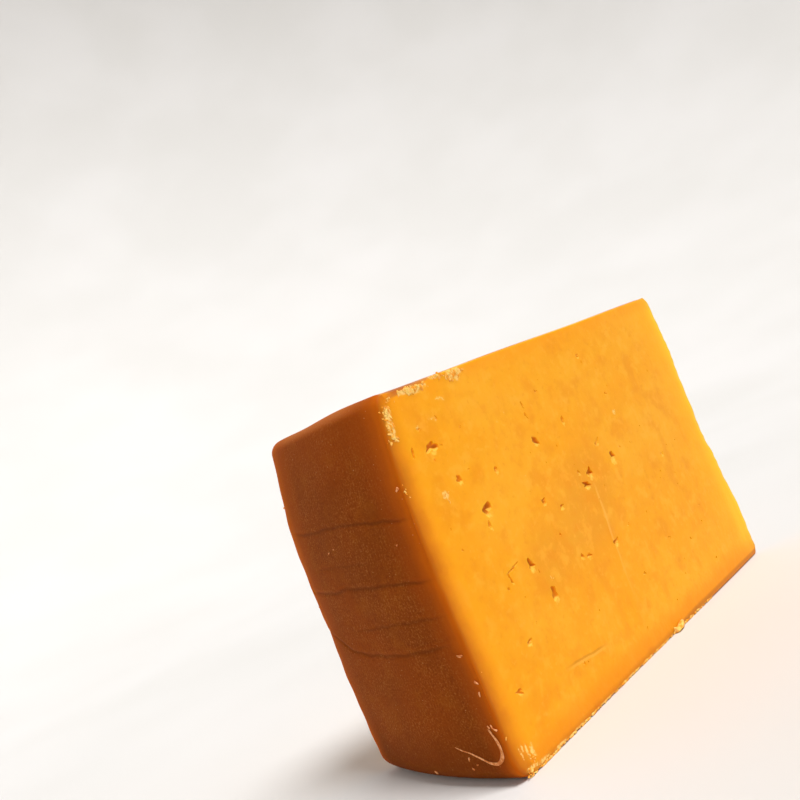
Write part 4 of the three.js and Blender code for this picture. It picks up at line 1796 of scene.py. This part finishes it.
@dataclass
class Shaving:
    """The curled shaving stuck low on the rind, near the near cut."""

    form: WheelForm
    shift: Array
    width: float = 1.5 * MM
    thickness: float = 0.5 * MM
    stands_out: float = 0.1 * MM
    stations: int = 90
    around: int = 8
    # Share of its width that comes and goes, and how fast, in radians from end to end
    uneven: float = 0.15
    uneven_turns: tuple[float, float] = (31, 11)
    # Share of the way along it, and its width there as a share of the whole
    swell: tuple[tuple[float, ...], ...] = (
        (0.0, 0.1, 0.3, 0.42, 0.55, 0.66, 0.78, 0.9, 0.97, 1.0),
        (0.02, 0.16, 0.3, 0.5, 0.72, 0.86, 0.8, 0.56, 0.42, 0.04),
    )
    # Degrees in from the near cut and height in mm, from its thin end to its curled one
    route: tuple[tuple[float, float], ...] = (
        (8.4, 16.4), (7.9, 14.6), (7.1, 12.9), (5.8, 11.0), (4.7, 10.0), (3.6, 8.4), (2.6, 7.0), (1.7, 6.8),
        (1.0, 8.3), (0.75, 10.6), (0.8, 13.0), (1.05, 15.2), (1.3, 16.8),
    )

    def build(self) -> bpy.types.Object:
        """Carries a flat oval section along the route on the rind, thinning it to nothing at both ends.

        The route runs through its points by a smooth curve. At each station the oval's long axis lies on
        the rind, across the route, and its short axis stands out of it.

        Returns:
            The shaving's object.
        """
        knots = np.array(self.route)
        at = np.linspace(0, len(knots) - 1, self.stations)
        degrees, height = self.through(knots, at).T
        middle, _, out = self.form.rind_place(degrees, height * MM)
        middle += self.stands_out * out
        along = np.gradient(middle, axis=0)
        along /= np.linalg.norm(along, axis=1)[:, None]
        across = np.cross(along, out)
        across /= np.linalg.norm(across, axis=1)[:, None]
        share = at / at[-1]
        swell = np.interp(share, self.swell[0], self.swell[1])
        fast, slow = self.uneven_turns
        swell = swell * (1 - self.uneven + self.uneven * np.sin(share * fast) * np.sin(share * slow))
        spin = np.linspace(0, 2 * math.pi, self.around, endpoint=False)
        wide = np.cos(spin)[None, :, None] * across[:, None, :] * (self.width / 2 * swell)[:, None, None]
        tall = np.sin(spin)[None, :, None] * out[:, None, :] * (self.thickness / 2 * swell)[:, None, None]
        points = (middle[:, None, :] + wide + tall).reshape(-1, 3)
        first = tuple(range(self.around))
        last = tuple((self.stations - 1) * self.around + i for i in first)
        faces = ring_faces(self.stations, self.around, turned=True) + [first[::-1], last]
        return new_piece("curled_shaving", points + self.shift, faces)

    def through(self, knots: Array, at: Array) -> Array:
        """Draws a smooth curve through its knots: on each stretch, the cubic that its four nearest set.

        Args:
            knots: The points that it goes through, n by 2.
            at: Where to read it: 0 at the first knot, 1 at the second, and so on.

        Returns:
            The curve's points, one for each place.
        """
        padded = np.concatenate([2 * knots[:1] - knots[1:2], knots, 2 * knots[-1:] - knots[-2:-1]])
        i = np.minimum(at.astype(int), len(knots) - 2)
        t = (at - i)[:, None]
        p0, p1, p2, p3 = [padded[i + k] for k in range(4)]
        square = 2 * p0 - 5 * p1 + 4 * p2 - p3
        cube = 3 * p1 - p0 - 3 * p2 + p3
        return 0.5 * (2 * p1 + (p2 - p0) * t + square * t**2 + cube * t**3)


@dataclass
class RindFlakes:
    """Small pale flakes that the knife lifted from the rind, near the near cut and low on it."""

    form: WheelForm
    shift: Array
    # Degrees in from the near cut, height, length and width in mm, and turn in degrees
    flakes: tuple[tuple[float, ...], ...] = (
        (0.9, 37.4, 2.0, 0.7, -8),
        (0.5, 84.3, 1.3, 1.0, 40),
        (0.35, 29.6, 1.5, 0.6, -50),
        (0.5, 26.4, 1.1, 0.5, 80),
        (0.7, 16.9, 1.3, 0.5, -60),
        (0.4, 16.1, 0.9, 0.6, -30),
        (1.1, 17.0, 0.9, 0.4, -70),
        (5.2, 8.3, 1.5, 0.6, 80),
        (5.2, 5.4, 1.2, 0.5, -50),
        (4.4, 6.6, 0.7, 0.4, 20),
        (11.4, 3.6, 1.3, 1.0, 0),
        (14.2, 72.8, 0.8, 0.3, 20),
        (13.0, 73.6, 0.6, 0.3, -20),
        (3.0, 70.2, 0.6, 0.4, 0),
    )
    half_thickness: float = 0.22
    stands_out: float = 0.05 * MM

    def build(self) -> bpy.types.Object:
        """Makes each flake as a flat rough lump that lies on the rind.

        Returns:
            The flakes' object.
        """
        degrees, height, length, width, turned = np.array(self.flakes).T
        places, along, out = self.form.rind_place(degrees, height * MM)
        up = np.array([0.0, 0.0, 1.0])
        c, s = np.cos(np.radians(turned))[:, None], np.sin(np.radians(turned))[:, None]
        axes = np.stack([c * along + s * up, c * up - s * along, out], 1)
        sizes = np.stack([length / 2, width / 2, np.full_like(width, self.half_thickness)], 1) * MM
        lumps = Lumps(LumpKind.CRUMB, 14, 9, np.random.default_rng(SEED + 3))
        points, faces = lumps.build(places + self.stands_out * out, axes, sizes)
        return new_piece("rind_flakes", points + self.shift, faces)


@dataclass
class Studio:
    """Pale paper bowl, one soft high light and even light all round, and the photograph's camera."""

    floor_radius: float = 0.5
    sweep: float = 1.5
    wall: float = 0.3
    # Rings of the level floor, points round each ring, and steps of the quarter circle
    floor_rings: tuple[float, ...] = (0.02, 0.15, 0.35)
    around: int = 96
    arc_steps: int = 24
    sun_from: tuple[float, float, float] = (0.118, -0.44, 0.89)
    sun_strength: float = 2.9
    sun_softness: float = math.radians(24)
    sky: str = "e9e4de"
    sky_strength: float = 0.32
    camera_at: tuple[float, float, float] = (-0.2292, -0.2446, 0.0987)
    looking: tuple[float, float, float] = (0.5969, 0.8018, 0.0281)
    roll: float = math.radians(-22.6)
    focal_in_frame: float = 969.75 / 800

    def build(self) -> None:
        """Sets up the floor, the lights, the sky and the camera."""
        floor = self.backdrop()
        floor.data.materials.append(PalePaper().build())
        self.lights()
        self.camera()

    def backdrop(self) -> bpy.types.Object:
        """Turns a profile about Z: a level floor, a quarter circle and a short wall.

        Returns:
            The floor's object.
        """
        arc = np.linspace(0, math.pi / 2, self.arc_steps)
        radius = np.concatenate([
            self.floor_rings,
            self.floor_radius + self.sweep * np.sin(arc),
            [self.floor_radius + self.sweep],
        ])
        height = np.concatenate([
            np.zeros(len(self.floor_rings)),
            self.sweep * (1 - np.cos(arc)),
            [self.sweep + self.wall],
        ])
        turn = np.linspace(0, 2 * math.pi, self.around, endpoint=False)
        level = np.outer(height, np.ones(self.around))
        rings = np.stack([np.outer(radius, np.cos(turn)), np.outer(radius, np.sin(turn)), level], 2)
        faces = ring_faces(len(radius), self.around) + [tuple(range(self.around))]
        return new_piece("studio_floor", rings.reshape(-1, 3), faces)

    def lights(self) -> None:
        """Adds the soft high light and the even light all round."""
        sun = bpy.data.lights.new("soft_high_light", "SUN")
        sun.energy = self.sun_strength
        sun.angle = self.sun_softness
        lamp = bpy.data.objects.new("soft_high_light", sun)
        lamp.rotation_euler = Vector(self.sun_from).to_track_quat("Z", "Y").to_euler()
        bpy.context.scene.collection.objects.link(lamp)
        world = bpy.data.worlds.new("even_light")
        world.use_nodes = True
        background = world.node_tree.nodes["Background"]
        background.inputs["Color"].default_value = linear(self.sky)
        background.inputs["Strength"].default_value = self.sky_strength
        bpy.context.scene.world = world

    def camera(self) -> None:
        """Places the camera at the photograph's viewing angle, rolled as the photograph shows the wedge."""
        data = bpy.data.cameras.new("photograph_view")
        data.sensor_width = 36.0
        data.lens = 36.0 * self.focal_in_frame
        camera = bpy.data.objects.new("photograph_view", data)
        facing = Vector(self.looking).to_track_quat("-Z", "Y").to_matrix().to_4x4()
        roll = Matrix.Rotation(self.roll, 4, "Z")
        camera.matrix_world = Matrix.Translation(self.camera_at) @ facing @ roll
        bpy.context.scene.collection.objects.link(camera)
        bpy.context.scene.camera = camera
        bpy.context.scene.view_settings.view_transform = "Standard"
        bpy.context.scene.view_settings.look = "None"


def dress(piece: bpy.types.Object, material: bpy.types.Material) -> bpy.types.Object:
    """Gives a piece its material, its body and its slot, and logs its size.

    Args:
        piece: The piece.
        material: Its finish.

    Returns:
        The same piece.
    """
    piece.data.materials.clear()
    piece.data.materials.append(material)
    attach(piece, BODY)
    log.info("%s: %d faces", piece.name, len(piece.data.polygons))
    return piece


def main() -> None:
    """Builds the wedge, its crumbs and its shaving, then the studio."""
    logging.basicConfig(level=logging.INFO, format="%(name)s: %(message)s")
    form = WheelForm()
    maker = Wedge(form)
    wedge = dress(maker.build(), SmokedCurd().build())
    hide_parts(NODE)
    torn = TornCurd().build()
    crumbs = Crumbs(form, maker.shift, form.near, "clinging_crumbs", SEED + 1)
    dress(crumbs.build(), torn)
    dress(crumbs.hanging(), torn)
    dress(Crumbs(form, maker.shift, form.far, "far_crumbs", SEED + 4, FAR_CLUSTERS, 14, 110).build(), torn)
    shaved = ShavedRind().build()
    dress(Shaving(form, maker.shift).build(), shaved)
    dress(RindFlakes(form, maker.shift).build(), shaved)
    Studio().build()


if __name__ == "__main__":
    main()
